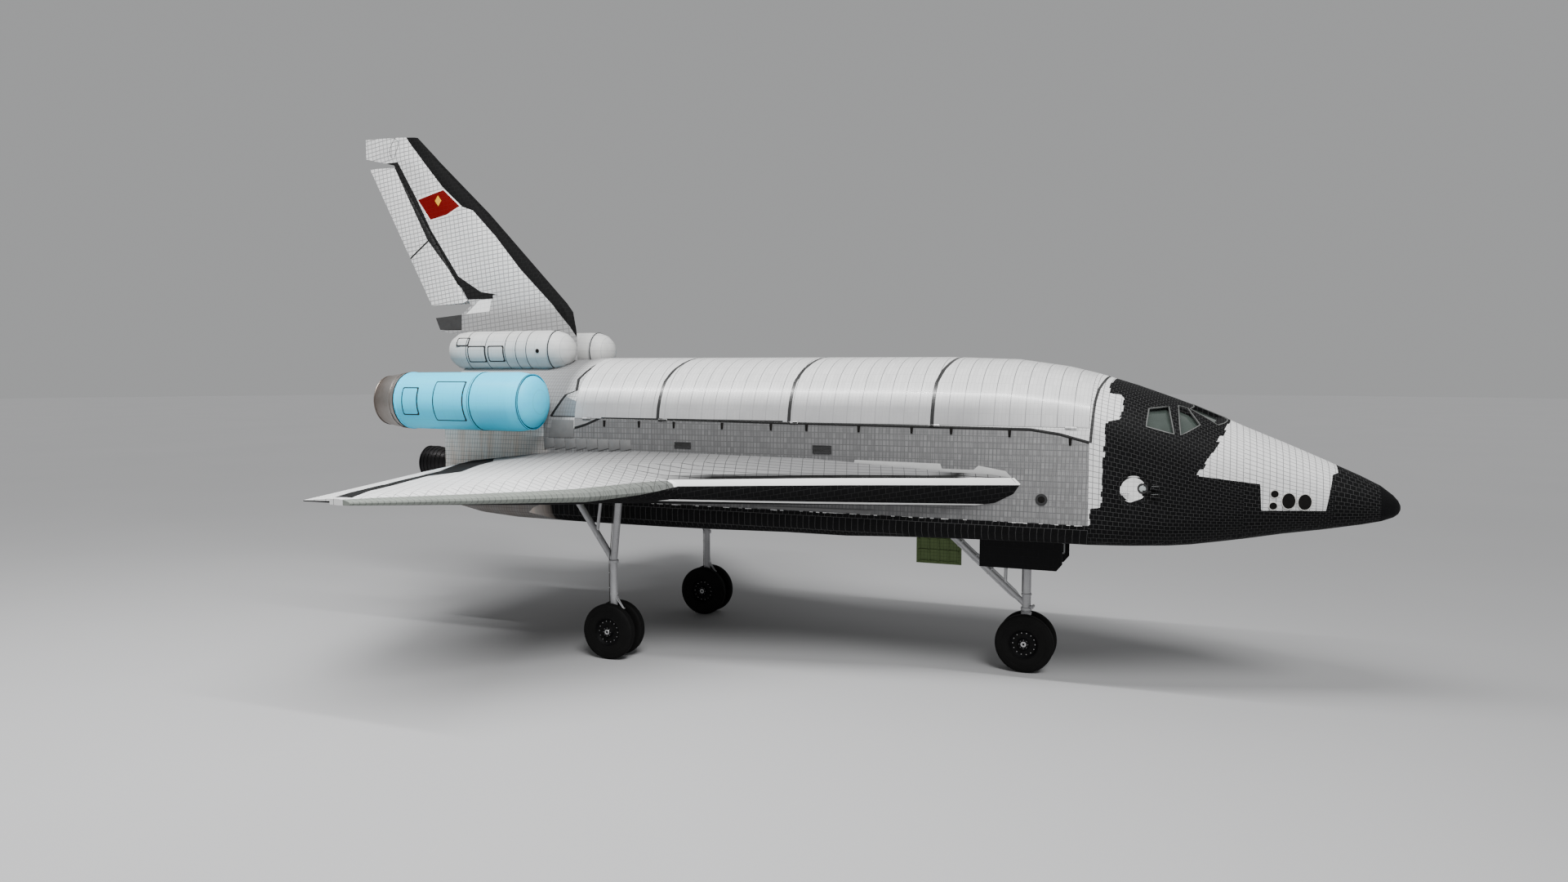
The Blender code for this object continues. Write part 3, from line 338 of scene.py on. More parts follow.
def nose_rows(finish):
    """Rows that run forward to the nose tip and narrow with the body."""
    aft, line = finish.aft, finish.line
    widest = line(aft, [(0, 5.65), (1, 5.8), (2, 5.95), (3, 6.15), (4, 6.4), (5.4, 6.8), (7, 7.3), (8.1, 7.6)])
    keel = line(aft, [(0, 5.52), (0.5, 5.3), (1, 5.2), (2, 5.02), (3, 4.87), (4.6, 4.63), (6, 4.49), (8.1, 4.45)])
    up = finish.height - widest
    over = (up / 0.68).angle(abs(finish.off))
    fewer = 1 - (aft < 4.05) * 0.34 - (aft < 1.75) * 0.33
    return across_belly(finish, ((up / (widest - keel) & 0) * 3 + (over | 0) * 2.4) * fewer)


def nose_patch(finish):
    """The white patch ahead of the windows and round the thruster ports."""
    aft, up = finish.aft, finish.height
    low = finish.line(aft, [(1.5, 5.63), (3.6, 5.63), (3.64, 6.36), (5.4, 6.59)])
    rear = 5.24 - (up - 6.58) * 0.547 + ragged(finish, up, 0.15, 0.1)
    front = finish.line(up, [(5.5, 1.98), (5.64, 1.96), (6.6, 1.79), (6.64, 1.64), (9, 1.6)])
    return (up > low) & (aft < rear) & (aft > front)


def body_white(finish):
    """The white part of the body behind the cabin, above the belly."""
    aft, up = finish.aft, finish.height
    front = finish.line(up, [
        (4.9, 8.04), (5.58, 8.04), (5.61, 7.76), (6.92, 7.72), (8.05, 7.65), (8.1, 7.36), (8.22, 7.26),
        (8.66, 7.24), (8.78, 7.34), (8.82, 7.68), (9.1, 7.66), (9.9, 7.52)])
    return (aft + ragged(finish, up, 0.16, 0.07) > front) & (up > belly_line(finish))


def cabin_inside(finish):
    """1 on surfaces that face the cabin's own middle."""
    aft, up = finish.aft, finish.height
    deck = (abs(finish.off) < 2.1) & (up > 5.5) & (up < 7) & (aft > 5)
    return (finish.inward(7.3) | deck) & (aft > 4.4) & (aft < 8) & (up > 5.2)


nose_tiles = Finish("nose_tiles", "black_tile")
aft, up = nose_tiles.aft, nose_tiles.height
brick_joints = (aft > 0.55) * 0.6  # the nose cap is one piece, without joints
nose_tiles.colour, rough, relief, _ = tiled_skin(
    nose_tiles, 1 - (nose_patch(nose_tiles) | body_white(nose_tiles)), aft, nose_rows(nose_tiles),
    white=(0.17, 0.15), joint_white=0.8, joint_dark=brick_joints, joint=0.022)
panel, tint = nose_tiles.tiles(aft, up, 0.34, 0.42, 0.012)
cabin_wall = nose_tiles.mix(panel * 0.7 | tint * 0.15, (0.24, 0.25, 0.25), (0.08, 0.085, 0.09))
door_seam = nose_tiles.line(up, [(7.4, 8.07), (8.6, 8), (8.93, 7.95), (9.3, 7.8), (9.8, 7.68)])
nose_tiles.cover(((abs(aft - door_seam) < 0.04) & (up > 7.44)) * 0.95, 0.01)
nose_tiles.cover(cabin_inside(nose_tiles), cabin_wall)
nose_tiles.paint(nose_tiles.colour, rough, relief, strength=0.5, specular_ior_level=TILE_GLOSS)
print("nose finish:", len(nose_tiles.tree.nodes), "nodes")

# %% [markdown]
# ## Body sides and tail
# Below the bay doors the body is clad in upright felt strips and small tiles. The belly is black,
# with long slanting joints, and turns to bare grey at the tail. The open bay is lined with a pale
# quilt, and the wheel well is painted green. All of it reads how far aft and how far up a point is.

# %% Body finish
SHOULDER = 7.9  # height at which the line of the bay doors runs on over the tail


def body_skin(name, tail):
    finish = Finish(name, "white_tile")
    line, cover = finish.line, finish.cover
    aft, up = finish.aft, finish.height
    slant, rows = aft + up * 0.12, girth(finish)
    if tail:  # the rear bulkhead is laid in its own two directions
        behind = abs(finish.facing(0)) > 0.8
        slant, rows = slant + (finish.off - slant) * behind, rows + (up - rows) * behind
    belly_end = line(up, [(3.8, 24.9), (4.19, 25.5), (4.52, 27.02), (4.7, 26.8), (5.2, 25.6)])
    dark_belly = (up < belly_line(finish)) & (aft < belly_end)
    finish.colour, roughness, relief, gap = tiled_skin(
        finish, dark_belly, slant, rows, white=(0.11, 0.15), dark=(0.2, 0.45), joint_white=0.5, joint_dark=0.9)
    upright, _ = finish.tiles(aft, up, 0.45, 9, 0.022, stagger=0)
    if tail:
        sill = line(aft, [(24, 7.84), (25, 7.5), (26.2, 7.5), (26.3, 7.2), (31, 7)])
    else:
        sill = line(aft, [(7.9, 7.39), (8.92, 7.66), (9.75, 7.78), (17.4, 7.83), (22.6, 7.89),
                          (23.9, 7.93), (24.6, 7.64), (25.1, 7.5)])
    # Painted shade: below the sill the flat side wall is darkened, more so aft towards the wing, and the darkening
    # fades out under the pods. The wall's joints darken with it.
    wall = (up < sill) & (up > BELLY_TOP) & (abs(finish.off) > 2.5) & (abs(finish.facing(1)) > 0.6)
    shade = line(aft, [(8, 0.74), (11, 0.84), (15, 0.91), (19, 0.94), (24.5, 0.93), (26.4, 0.8), (27.3, 0.5),
                       (28.2, 0.1), (31, 0)])
    grid, grid_tint = finish.tiles(aft, up, 0.115, 0.18, 0.034, stagger=0)
    cover(wall * shade, (0.12, 0.12, 0.122))
    cover((upright * 0.45 | grid * 0.42 | grid_tint * 0.3) * wall * (0.25 + shade), (0.035, 0.035, 0.036))
    if tail:
        edge = line(up, [(7.9, 26), (8.65, 25.52), (8.79, 25.14), (9.18, 25.25), (9.5, 25.1), (9.9, 24.9)])
        seam = (abs(aft - edge) < 0.055) & (up > SHOULDER)
        # Painted shadow, tinted blue as a painted reflection of the side pod: a bluish grey wedge on the tail ahead
        # of the doors' aft edge line, above the shoulder.
        shadow = (aft < edge) & (up > SHOULDER) & (up < 8.72) & (up < 8.72 - (25.9 - aft) * 0.35)
        shadow = shadow & (abs(finish.facing(0)) < 0.8)
        cover(shadow * 0.9, (0.1, 0.15, 0.18))
        seam = seam | (abs(up - SHOULDER) < 0.02) & (aft < 26)
        # Below the shoulder the tail turns a warm near-white, brighter than the tiles: partly a real heat stain,
        # partly painted light that lifts the area the side pod shades. Warm streaks of stain lie on it.
        warm = finish.noise(1, 3, vector=finish.vector(aft * 4, up * 0.35))
        stain = line(aft, [(26, 0), (27.6, 1), (30.5, 1)]) * (up < SHOULDER)
        cover(stain * 0.9, (1, 0.92, 0.85))
        cover(stain * ((warm - 0.42) * 3 | 0) & 0.7, (0.8, 0.62, 0.5))
        cover((up < BELLY_TOP) * (1 - dark_belly) * 0.85, 0.1)
        crown = line(aft, [(25, 0.3), (25.6, 0.9), (27.2, 0.75), (30.5, 0.65)])
        crown = crown * ((up > SHOULDER) | (up > 7.1) & (aft < 26.3))
        cover(crown, (0.14, 0.14, 0.142))
        cover(gap * (1 - dark_belly) * 0.6, 0.06)
    else:
        corner = (up > sill) & (up < 7.95) & (aft > 23.7)
        cover(corner * 0.9, (0.17, 0.17, 0.172))
        seam = (abs(up - sill) < 0.045) & (abs(finish.off) > 2.6) & (abs(finish.facing(1)) > 0.6)
    cover(seam * 0.95, 0.004)
    if not tail:
        out = abs(finish.off)
        bay = (out < 2.475) & (up > 5.33) & (aft > 8.34) & (aft < 24.82)
        quilt, quilt_tint = finish.tiles(aft, finish.off + up, 0.61, 0.42, 0.016, stagger=0)
        lining = finish.mix(quilt * 0.6 | quilt_tint * 0.12, (0.58, 0.59, 0.55), (0.2, 0.21, 0.2))
        cover(bay, lining)
        well = (out < 0.83) & (up < 5.11) & (aft > 9) & (aft < 14.07)
        cover(well, finish.mix(quilt * 0.5 | quilt_tint * 0.3, *WELL_GREEN))
    return finish.paint(finish.colour, roughness, relief, strength=0.4, specular_ior_level=TILE_GLOSS)


side_tiles = body_skin("side_tiles", tail=False)
tail_tiles = body_skin("tail_tiles", tail=True)
print("body finishes:", len(side_tiles.tree.nodes), "and", len(tail_tiles.tree.nodes), "nodes")

# %% [markdown]
# ## Bay doors
# The two long doors are composite shells under felt. Dark ribs of sealant cross them every half
# metre, with finer stitching between, and three black seams show where one section ends. A slightly
# lower roughness than the tiles gives the smooth sheen along the shoulder.

# %% Bay door finish
door_felt = Finish("door_felt", "white_felt")
aft, off, up, door_up = door_felt.aft, door_felt.off, door_felt.height, girth(door_felt)
rib, _ = door_felt.tiles(aft, door_up, 0.45, 20, 0.028, stagger=0)
stitch, tint = door_felt.tiles(aft, door_up, 0.1125, 0.36, 0.008, stagger=0)
soot = door_felt.noise(0.5, 5, roughness=0.65)
grain = door_felt.noise(14, 3)
door_felt.colour = door_felt.mix(soot * 0.45 + tint * 0.3 + grain * 0.12, TILE_WHITE, TILE_WHITE_DIM)
door_felt.cover(rib * 0.9 | stitch * 0.5, JOINT_ON_WHITE)
lean = door_felt.line(up, [(7.6, 0), (9.1, 0), (9.5, 0.1), (9.92, 0.3)])
sections = [door_felt.stroke(aft + lean, seam, 0.115) for seam in (12.63, 17.2, 21.85)]
sections.append((up < 7.9) & (abs(off) > 2) & (aft > 17.4) & (aft < 24))  # the door's low edge
sections = reduce(or_, sections)
lined = door_felt.inward(MIDDLE_UP)
# Painted shade: the door is darker towards its lower edge, mottled by the soot noise, and less so at its front end,
# where the sheen runs low.
dirt = door_felt.line(up, [(7.6, 1), (8.35, 1), (8.72, 0.2), (9, 0)])
dirt = dirt * door_felt.line(aft, [(8.1, 0.3), (11.5, 1), (25, 1)])
door_felt.cover(dirt * (0.6 + soot * 0.5), (0.27, 0.27, 0.275))
door_felt.cover(sections * 0.97, 0.004)
quilt, tint = door_felt.tiles(aft, door_up, 0.61, 0.42, 0.014, stagger=0)
door_felt.cover(lined, door_felt.mix(quilt * 0.6 | tint * 0.12, (0.56, 0.57, 0.53), (0.2, 0.21, 0.2)))
door_felt.paint(door_felt.colour, 0.22 + grain * 0.1 + soot * 0.08 + lined * 0.3,
                1 - (rib | stitch * 0.5) + grain * 0.2 - sections * 1.5, strength=0.35,
                specular_ior_level=0.6, coat_weight=0.3, coat_roughness=0.16)
print("door finish:", len(door_felt.tree.nodes), "nodes")

# %% [markdown]
# ## Wings
# The wing is white above and black below. Its thick strake carries a black wedge with a pointed
# front, and the outer leading edge is a rounded band of pale carbon. Slanting joints cross the top.
# Whether a point is above or below is read from its height against the wing's own middle height.

# %% Wing finish
EDGE_CARBON = (0.24, 0.26, 0.235)


def wing_skin(name, elevon):
    finish = Finish(name, "white_tile")
    line, cover = finish.line, finish.cover
    aft, out, up = finish.aft, abs(finish.off), finish.height
    middle = line(out, [
        (2.8, 6.17), (3.85, 6.07), (4.9, 5.94), (5.8, 5.74), (7, 5.6), (9.4, 5.72), (11.96, 5.88)])
    under = up < (5.955 if elevon else middle)
    finish.colour, roughness, relief, gap = tiled_skin(
        finish, under, aft + out * 0.33, out - aft * 0.12, white=(0.36, 0.18), dark=(0.2, 0.2), lay=(aft, out + up),
        joint_white=0.7, joint_dark=0.25, joint=0.026)
    # A black band of painted shade lies on the top just ahead of the elevon hinge, where the hinge gap falls in
    # shade; it is also made fully rough.
    ahead = line(out, [
        (2.5, 28.7), (2.95, 28.4), (4.28, 27.43), (5.15, 27.25), (6.9, 26.65), (7.4, 27.5), (8.73, 27.2),
        (10.52, 26.86), (11.78, 26.35), (11.96, 26.3)])
    behind = line(out, [
        (2.5, 29.9), (2.95, 29.65), (5.98, 27.96), (8.4, 27.7), (10.48, 27.44), (11.68, 26.85), (11.96, 26.7)])
    seal = (aft > ahead - 0.12) & (aft < behind + 0.12) & (1 - under) & (out < 11.7)
    if not elevon:
        lead = line(out, [(2.8, 10.1), (3.85, 15.02), (4.9, 19.95), (7, 21.85), (9.4, 24), (11.96, 26.1)])
        width = line(out, [(2.8, 0.2), (4.4, 0.16), (5.2, 0.3), (7, 0.36), (9.4, 0.34), (11.96, 0.24)])
        rib_line, _ = finish.tiles(out, up, 0.12, 9, 0.02, stagger=0)
        carbon = (aft < lead + width) & (out > 4.1) & (1 - under)
        band = finish.mix(rib_line * 0.6 + finish.noise(1.2, 4) * 0.5, EDGE_CARBON, (0.1, 0.11, 0.1))
        cover(carbon, band)
        root = line(out, [(2.8, 1), (4.6, 0.75), (8, 0)])
        cover(root * (1 - under) * 0.94, (0.09, 0.09, 0.091))
        cover(root * (1 - under) * gap * 0.9, 0.02)
        inner = (out < 5) & (1 - under)
        lip = up - middle
        # Painted highlight: a near-white band, brighter than the tiles, along the strake just above its black wedge.
        cover((lip < 0.2) & inner & (aft < 21), (0.92, 0.92, 0.91))
        line_share = line(aft, [(11.4, 0), (11.8, 1), (19, 1), (21, 0)])
        cover(inner & (abs(lip - 0.245) < 0.055) & line_share, 0.002)
        # Painted highlight: a thin white stripe along the strake's lower edge, near its front.
        edge_highlight_line = line(out, [(2.8, 5.535), (3.85, 5.505), (4.9, 5.49)])
        cover((abs(up - edge_highlight_line) < 0.032) & (out < 4.9) & (aft < lead + 1.2), (0.85, 0.85, 0.84))
        fade = line(aft, [(11.8, 0), (12.6, 0.9), (16.5, 0.85), (21.5, 0)])
        fade = fade * line(out, [(3.7, 1), (5.2, 0)])
        cover(fade * (lip > 0.26), finish.mix(gap * 0.7, (0.17, 0.17, 0.172), 0.03))
        well = (out > 3.015) & (out < 4.025) & (up < 5.625) & (aft > 22.34) & (aft < 25.11)
        panel, panel_tint = finish.tiles(aft, up, 0.38, 0.3, 0.014)
        cover(well, finish.mix(panel * 0.5 | panel_tint * 0.3, *WELL_GREEN))
    # The hinge band's painted shade.
    cover(seal * 0.98, 0.001)
    return finish.paint(finish.colour, roughness | seal, relief, strength=0.4, specular_ior_level=TILE_GLOSS)


wing_tiles = wing_skin("wing_tiles", elevon=False)
elevon_tiles = wing_skin("elevon_tiles", elevon=True)
print("wing finishes:", len(wing_tiles.tree.nodes), "and", len(elevon_tiles.tree.nodes), "nodes")

# %% [markdown]
# ## Fin and rudder
# The fin's leading edge is black brick with a stepped inner border, and a black band of painted shade
# follows the rudder's hinge, with a painted shadow in the pocket by the rudder's foot. The fin is painted
# darker towards its foot as painted shade. A plain red panel with a small gold diamond sits near the top.
# The rudder panels are white, crossed by the same netting of small tiles.

# %% Fin finish
PANEL_RED = (0.13, 0, 0.0005)
PANEL_GOLD = (0.7, 0.38, 0.02)


def tail_skin(name, rudder):
    finish = Finish(name, "white_tile")
    line, cover = finish.line, finish.cover
    aft, up = finish.aft, finish.height
    lead = line(up, [
        (10.3, 26.6), (10.51, 26.62), (11.12, 26.93), (11.91, 27.58), (13.23, 28.95), (14.51, 30.08),
        (15.52, 31.1), (15.74, 31.73), (16.48, 32.49), (18.17, 34.01), (18.6, 34.35)])
    edge = (aft < lead) & (up > 10.35)
    finish.colour, roughness, relief, _ = tiled_skin(
        finish, edge, aft - up * 0.1, up + aft * 0.12, white=(0.21, 0.16), dark=(0.16, 0.16),
        joint_white=0.7, joint_dark=0.3, joint=0.04)
    cover(edge * 0.6, 0.002)
    if rudder:
        seal = line(up, [(11.9, 30.5), (12.21, 30.9), (12.37, 31.39), (12.76, 31.87), (13.46, 32.36),
                         (14.51, 33.27), (16.79, 34.53), (17.6, 34.99)])
        split = abs(aft * 0.532 + up * 0.847 - 29.978) < 0.035  # between the two rudder panels
        # The rudder's front edge gets a black band of painted shade along the hinge gap; the split is a real joint
        # line.
        shadow = (aft < seal + 0.05) | split
    else:
        seal = line(up, [(12.3, 30), (12.36, 30.27), (12.44, 30.82), (13.07, 31.9), (14.88, 33.19),
                         (16.14, 33.88), (17.62, 34.8)])
        # On the fin a black band of painted shade fills the hinge gap aft of this line, and a painted shadow fills
        # the pocket by the rudder's foot.
        shadow = (aft > seal - 0.07) & (up > 12.3) & (up < 17.6)
        shadow = shadow | finish.inside(aft, up, [(30.19, 12.17), (31.9, 12.17), (31.9, 12.36), (30.19, 12.3)])
        curl = reduce(or_, [abs(aft - line(up, points)) < 0.022 for points in (
            [(17.72, 34.97), (17.8, 35), (18.04, 35.09), (18.21, 35.03), (18.5, 34.86)],
            [(17.8, 34.83), (17.96, 34.77), (18.2, 34.66), (18.38, 34.65), (18.5, 34.8)])])
        cover((curl & (up > 17.78)) * 0.8, 0.1)
        foot = finish.inside(aft, up, [(30.37, 11.7), (31.49, 11.62), (30.83, 12.14), (30.28, 12.14)])
        cover(foot * 0.8, (0.92, 0.92, 0.91))
        # Painted shade: the fin darkens towards its foot, between the top pods, though not on its black edge or the
        # white foot plate.
        low = line(up, [(9.8, 0.85), (11.5, 0.8), (12.2, 0.35), (13.4, 0)]) * (1 - foot) * (1 - edge)
        cover(low * 0.9, (0.15, 0.15, 0.152))
        red = finish.inside(aft, up, [(33.13, 15.28), (33.74, 16.08), (32.45, 16.37), (31.69, 15.71), (32.3, 15.43)])
        rim = finish.inside(aft, up, [(33.15, 15.22), (33.82, 16.12), (32.44, 16.43), (31.6, 15.71), (32.28, 15.38)])
        gold = (abs(aft - 32.72) / 0.16 + abs(up - 15.98) / 0.2) < 1
        cover(rim, (0.8, 0.78, 0.76))
        cover(red, PANEL_RED)
        cover(gold, PANEL_GOLD)
    cover(shadow * 0.98, 0.001)
    return finish.paint(finish.colour, roughness, relief, strength=0.4, specular_ior_level=TILE_GLOSS)


fin_tiles = tail_skin("fin_tiles", rudder=False)
rudder_tiles = tail_skin("rudder_tiles", rudder=True)
print("fin finishes:", len(fin_tiles.tree.nodes), "and", len(rudder_tiles.tree.nodes), "nodes")

# %% [markdown]
# ## Pods, metal, rubber and glass
# The side pods are pale blue paint and the top pods white felt. The legs are silver paint with a
# fine grain and a faint weave. Nozzles and bells are bare steel, stained by heat towards the rear.
# Each finish gets its own scale of grain, dirt and wear, because one grain for all looks like plastic.

# %% Pod, metal, rubber and glass finishes
def pod_paint(name, slot, clean, faded, rings, joint):
    """Paint on a turned pod: panel joints round it, and dirt that streaks aft."""
    finish = Finish(name, slot)
    gap, tint = finish.tiles(finish.aft, finish.height, 0.46, 0.3, 0.01, stagger=0)
    streak = finish.noise(1.4, 4, vector=finish.vector(finish.aft * 0.35, finish.off * 3, finish.height * 3))
    grain = finish.noise(30, 2)
    finish.colour = finish.mix(streak * 0.75 + tint * 0.1, clean, faded)
    finish.cover(gap * joint, (0.16, 0.2, 0.23))
    bands = reduce(or_, [finish.stroke(finish.aft, at, 0.036) for at in rings])
    finish.cover(bands * 0.9, (0.02, 0.025, 0.03))
    return finish.paint(finish.colour, 0.28 + streak * 0.18 + grain * 0.05,
                        1 - bands - gap * joint + grain * 0.06, strength=0.5, specular_ior_level=0.2)


blue_paint = pod_paint("blue_paint", "pale_blue_paint", (0.045, 0.74, 1), (0.03, 0.58, 0.98),
                       (26.05, 27.9, 27.98), 0.16)
pod_felt = pod_paint("pod_felt", "white_felt", (0.66, 0.66, 0.65), (0.44, 0.44, 0.43),
                     (26.6, 27.5, 27.95, 28.4, 29.25, 30.1), 0.6)


def steel(name, slot, cool, hot, centre, reach, roughness):
    """Bare steel, stained by heat along it, with fine brushed lines round it."""
    finish = Finish(name, slot)
    heat = ((finish.aft - centre) / reach | 0) & 1
    brushed = finish.noise(6, 4, vector=finish.vector(finish.aft * 22, finish.off, finish.height))
    stain = finish.noise(2.2, 5, roughness=0.7)
    finish.colour = finish.mix((heat + stain * 0.7 - 0.3 | 0) & 1, cool, hot)
    finish.cover(brushed * 0.35, (0.02, 0.018, 0.016))
    return finish.paint(finish.colour, roughness + brushed * 0.2, brushed, depth=0.001, strength=0.4, metallic=0.85)


nozzle_steel = steel("nozzle_steel", "heated_steel", (0.46, 0.44, 0.42), (0.22, 0.18, 0.155), 31.1, 1.1, 0.26)
bell_steel = steel("bell_steel", "dark_steel", (0.035, 0.033, 0.034), (0.012, 0.012, 0.014), 31.3, 1.2, 0.34)

leg_silver = Finish("leg_silver", "silver_paint")
grain, dirt = leg_silver.noise(60, 2), leg_silver.noise(3, 5)
weave, _ = leg_silver.tiles(leg_silver.aft + leg_silver.off, leg_silver.height, 0.045, 0.045, 0.008)
leg_silver.paint(leg_silver.mix(dirt * 0.6 + weave * 0.3, (0.52, 0.52, 0.53), (0.29, 0.29, 0.3)),
                 0.36 + dirt * 0.2, grain * 0.4 - weave * 0.6, depth=0.001, metallic=0.35)

tyre_rubber = Finish("tyre_rubber", "tyre")
grain, dust = tyre_rubber.noise(45, 4, roughness=0.7), tyre_rubber.noise(2.6, 4)
tyre_rubber.paint(tyre_rubber.mix(dust * 0.6 + grain * 0.3, (0.0015, 0.0015, 0.0016), (0.008, 0.0078, 0.0075)),
                  0.66 + grain * 0.15, grain, depth=0.0015, specular_ior_level=TILE_GLOSS)

hub_paint = Finish("hub_paint", "hub_grey")
dirt = hub_paint.noise(14, 5)
hub_paint.paint(hub_paint.mix(dirt * 0.9, (0.004, 0.004, 0.0045), 0.0015), 0.5 + dirt * 0.3, dirt, depth=0.001,
                specular_ior_level=TILE_GLOSS)

black_paint = Finish("black_paint", "dark_paint")
wear = black_paint.noise(7, 5, roughness=0.65)
seam, _ = black_paint.tiles(black_paint.aft, black_paint.height + black_paint.off, 0.3, 0.24, 0.01)
black_paint.paint(black_paint.mix(wear * 0.5 + seam * 0.5, (0.0015, 0.0015, 0.0018), (0.012, 0.012, 0.013)),
                  0.5 + wear * 0.2, wear * 0.3 - seam, specular_ior_level=TILE_GLOSS)

green_primer = Finish("green_primer", "green_primer")
grid, _ = green_primer.tiles(green_primer.aft, green_primer.height, 0.11, 0.11, 0.014, stagger=0)
wear = green_primer.noise(5, 5)
green_primer.paint(green_primer.mix(grid * 0.55 + wear * 0.3, (0.115, 0.165, 0.06), (0.05, 0.075, 0.026)),
                   0.55 + wear * 0.2, 1 - grid + wear * 0.2)

cabin_paint = Finish("cabin_paint", "cabin_grey")
grain, patch = cabin_paint.noise(120, 2), cabin_paint.noise(3, 3)
cabin_paint.paint(cabin_paint.mix(patch * 0.6, (0.2, 0.21, 0.22), (0.11, 0.12, 0.13)), 0.5 + grain * 0.15,
                  grain, depth=0.0006)

window_glass = Finish("window_glass", "window_glass")
haze = window_glass.noise(1.8, 3)
window_glass.paint(window_glass.mix(haze, (0.035, 0.046, 0.04), (0.085, 0.105, 0.095)), 0.05 + haze * 0.05,
                   transmission_weight=0.18, coat_weight=0.6, coat_roughness=0.03)
print("finishes:", len([m for m in bpy.data.materials if m.use_nodes]))

# %% [markdown]
# ## From facets to a smooth skin
# A CAD node arrives as loose flat triangles. Where its shape curves, a copy is merged, its triangles
# joined and its smooth edges shaded as one surface, and the copy then stands for the node. Flat and
# boxy nodes stay as they are and only get their finish. Tyres and wheels are turned anew further down.

# %% Dress the CAD nodes
def finish_mesh(name, bm, finish, body, sharp=32):
    """Turn a bmesh in the aircraft's frame into a piece; edges above sharp degrees stay crisp."""
    for face in bm.faces:
        face.smooth = True
    for edge in bm.edges:
        edge.smooth = edge.calc_face_angle(math.pi) < math.radians(sharp)
    mesh = bpy.data.meshes.new(name)
    bm.to_mesh(mesh)
    bm.free()
    mesh.materials.append(finish.material)
    piece = bpy.data.objects.new(name, mesh)
    bpy.context.scene.collection.objects.link(piece)
    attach(piece, body)
    return piece


def merged(node):
    """A merged copy of a CAD node's mesh, its flat triangles joined."""
    bm = bmesh.new()
    bm.from_mesh(frame["nodes"][node].data)
    bmesh.ops.remove_doubles(bm, verts=bm.verts, dist=0.0001)
    bmesh.ops.join_triangles(bm, faces=bm.faces, cmp_sharp=False, angle_face_threshold=math.radians(2),
                             angle_shape_threshold=math.radians(70))
    return bm


def coat(node, finish):
    """A CAD node that keeps its own mesh."""
    part = frame["nodes"][node]
    part.data.materials.clear()
    part.data.materials.append(finish.material)


def both(name):
    """The name itself, or the left and the right node's name where it ends in an underscore."""
    return [name + "left", name + "right"] if name.endswith("_") else [name]


SKINS = (
    (nose_tiles, "forward_fuselage"), (side_tiles, "mid_fuselage"), (tail_tiles, "aft_fuselage"),
    (door_felt, "bay_door_"), (nose_tiles, "crew_hatch"), (window_glass, "windshield_glass"),
    (wing_tiles, "wing_"), (elevon_tiles, "elevon_inner_ elevon_outer_"), (fin_tiles, "fin"),
    (rudder_tiles, "rudder_lower rudder_upper"), (black_paint, "body_flap"),
    (blue_paint, "side_pod_ intake_cover_"), (nozzle_steel, "exhaust_nozzle_"), (pod_felt, "top_pod_"),
    (bell_steel, "engine_bell_"), (leg_silver, "nose_leg nose_drag_brace nose_actuator nose_steered_leg"),
    (leg_silver, "main_leg_ main_drag_brace_ main_actuator_"))
COATS = ((black_paint, "nose_door_front_"), (green_primer, "nose_door_aft"),
         (cabin_paint, "instrument_panel crew_seat_"))
skins = {}
for finish, names in SKINS:
    for node in (node for name in names.split() for node in both(name)):
        skins[node] = finish_mesh(node + "_skin", merged(node), finish, body_of[node])
        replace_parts(skins[node], node)
for finish, names in COATS:
    for node in (node for name in names.split() for node in both(name)):
        coat(node, finish)
print("skins:", len(skins))

# %% [markdown]
# ## Shaping helpers
# Fittings are made from four forms: a plate drawn in the side view, a block, a rod between two
# points, and an outline turned about a line. Each gets small bevels, because no real edge is sharp
# and the bevel is what catches the light. Several forms may share one bmesh and become one piece.

# %% Shaping helpers
SIDES = (("left", 1), ("right", -1))  # each side's name, and which way it lies along Y
AFT = (-1, 0, 0)


def soften(bm, edges, size, segments=2, affect="EDGES"):
    bmesh.ops.bevel(bm, geom=edges, offset=size, segments=segments, profile=0.5, affect=affect, material=-1)


def once(items):
    """Each item once, always in the same order."""
    return list(dict.fromkeys(items))


def thicken(bm, faces, depth):
    """Give open faces a wall by extruding them along one direction."""
    made = bmesh.ops.extrude_face_region(bm, geom=faces, use_keep_orig=True)["geom"]
    moved = [item for item in made if isinstance(item, bmesh.types.BMVert)]
    bmesh.ops.translate(bm, verts=moved, vec=Vector(depth))
    return moved


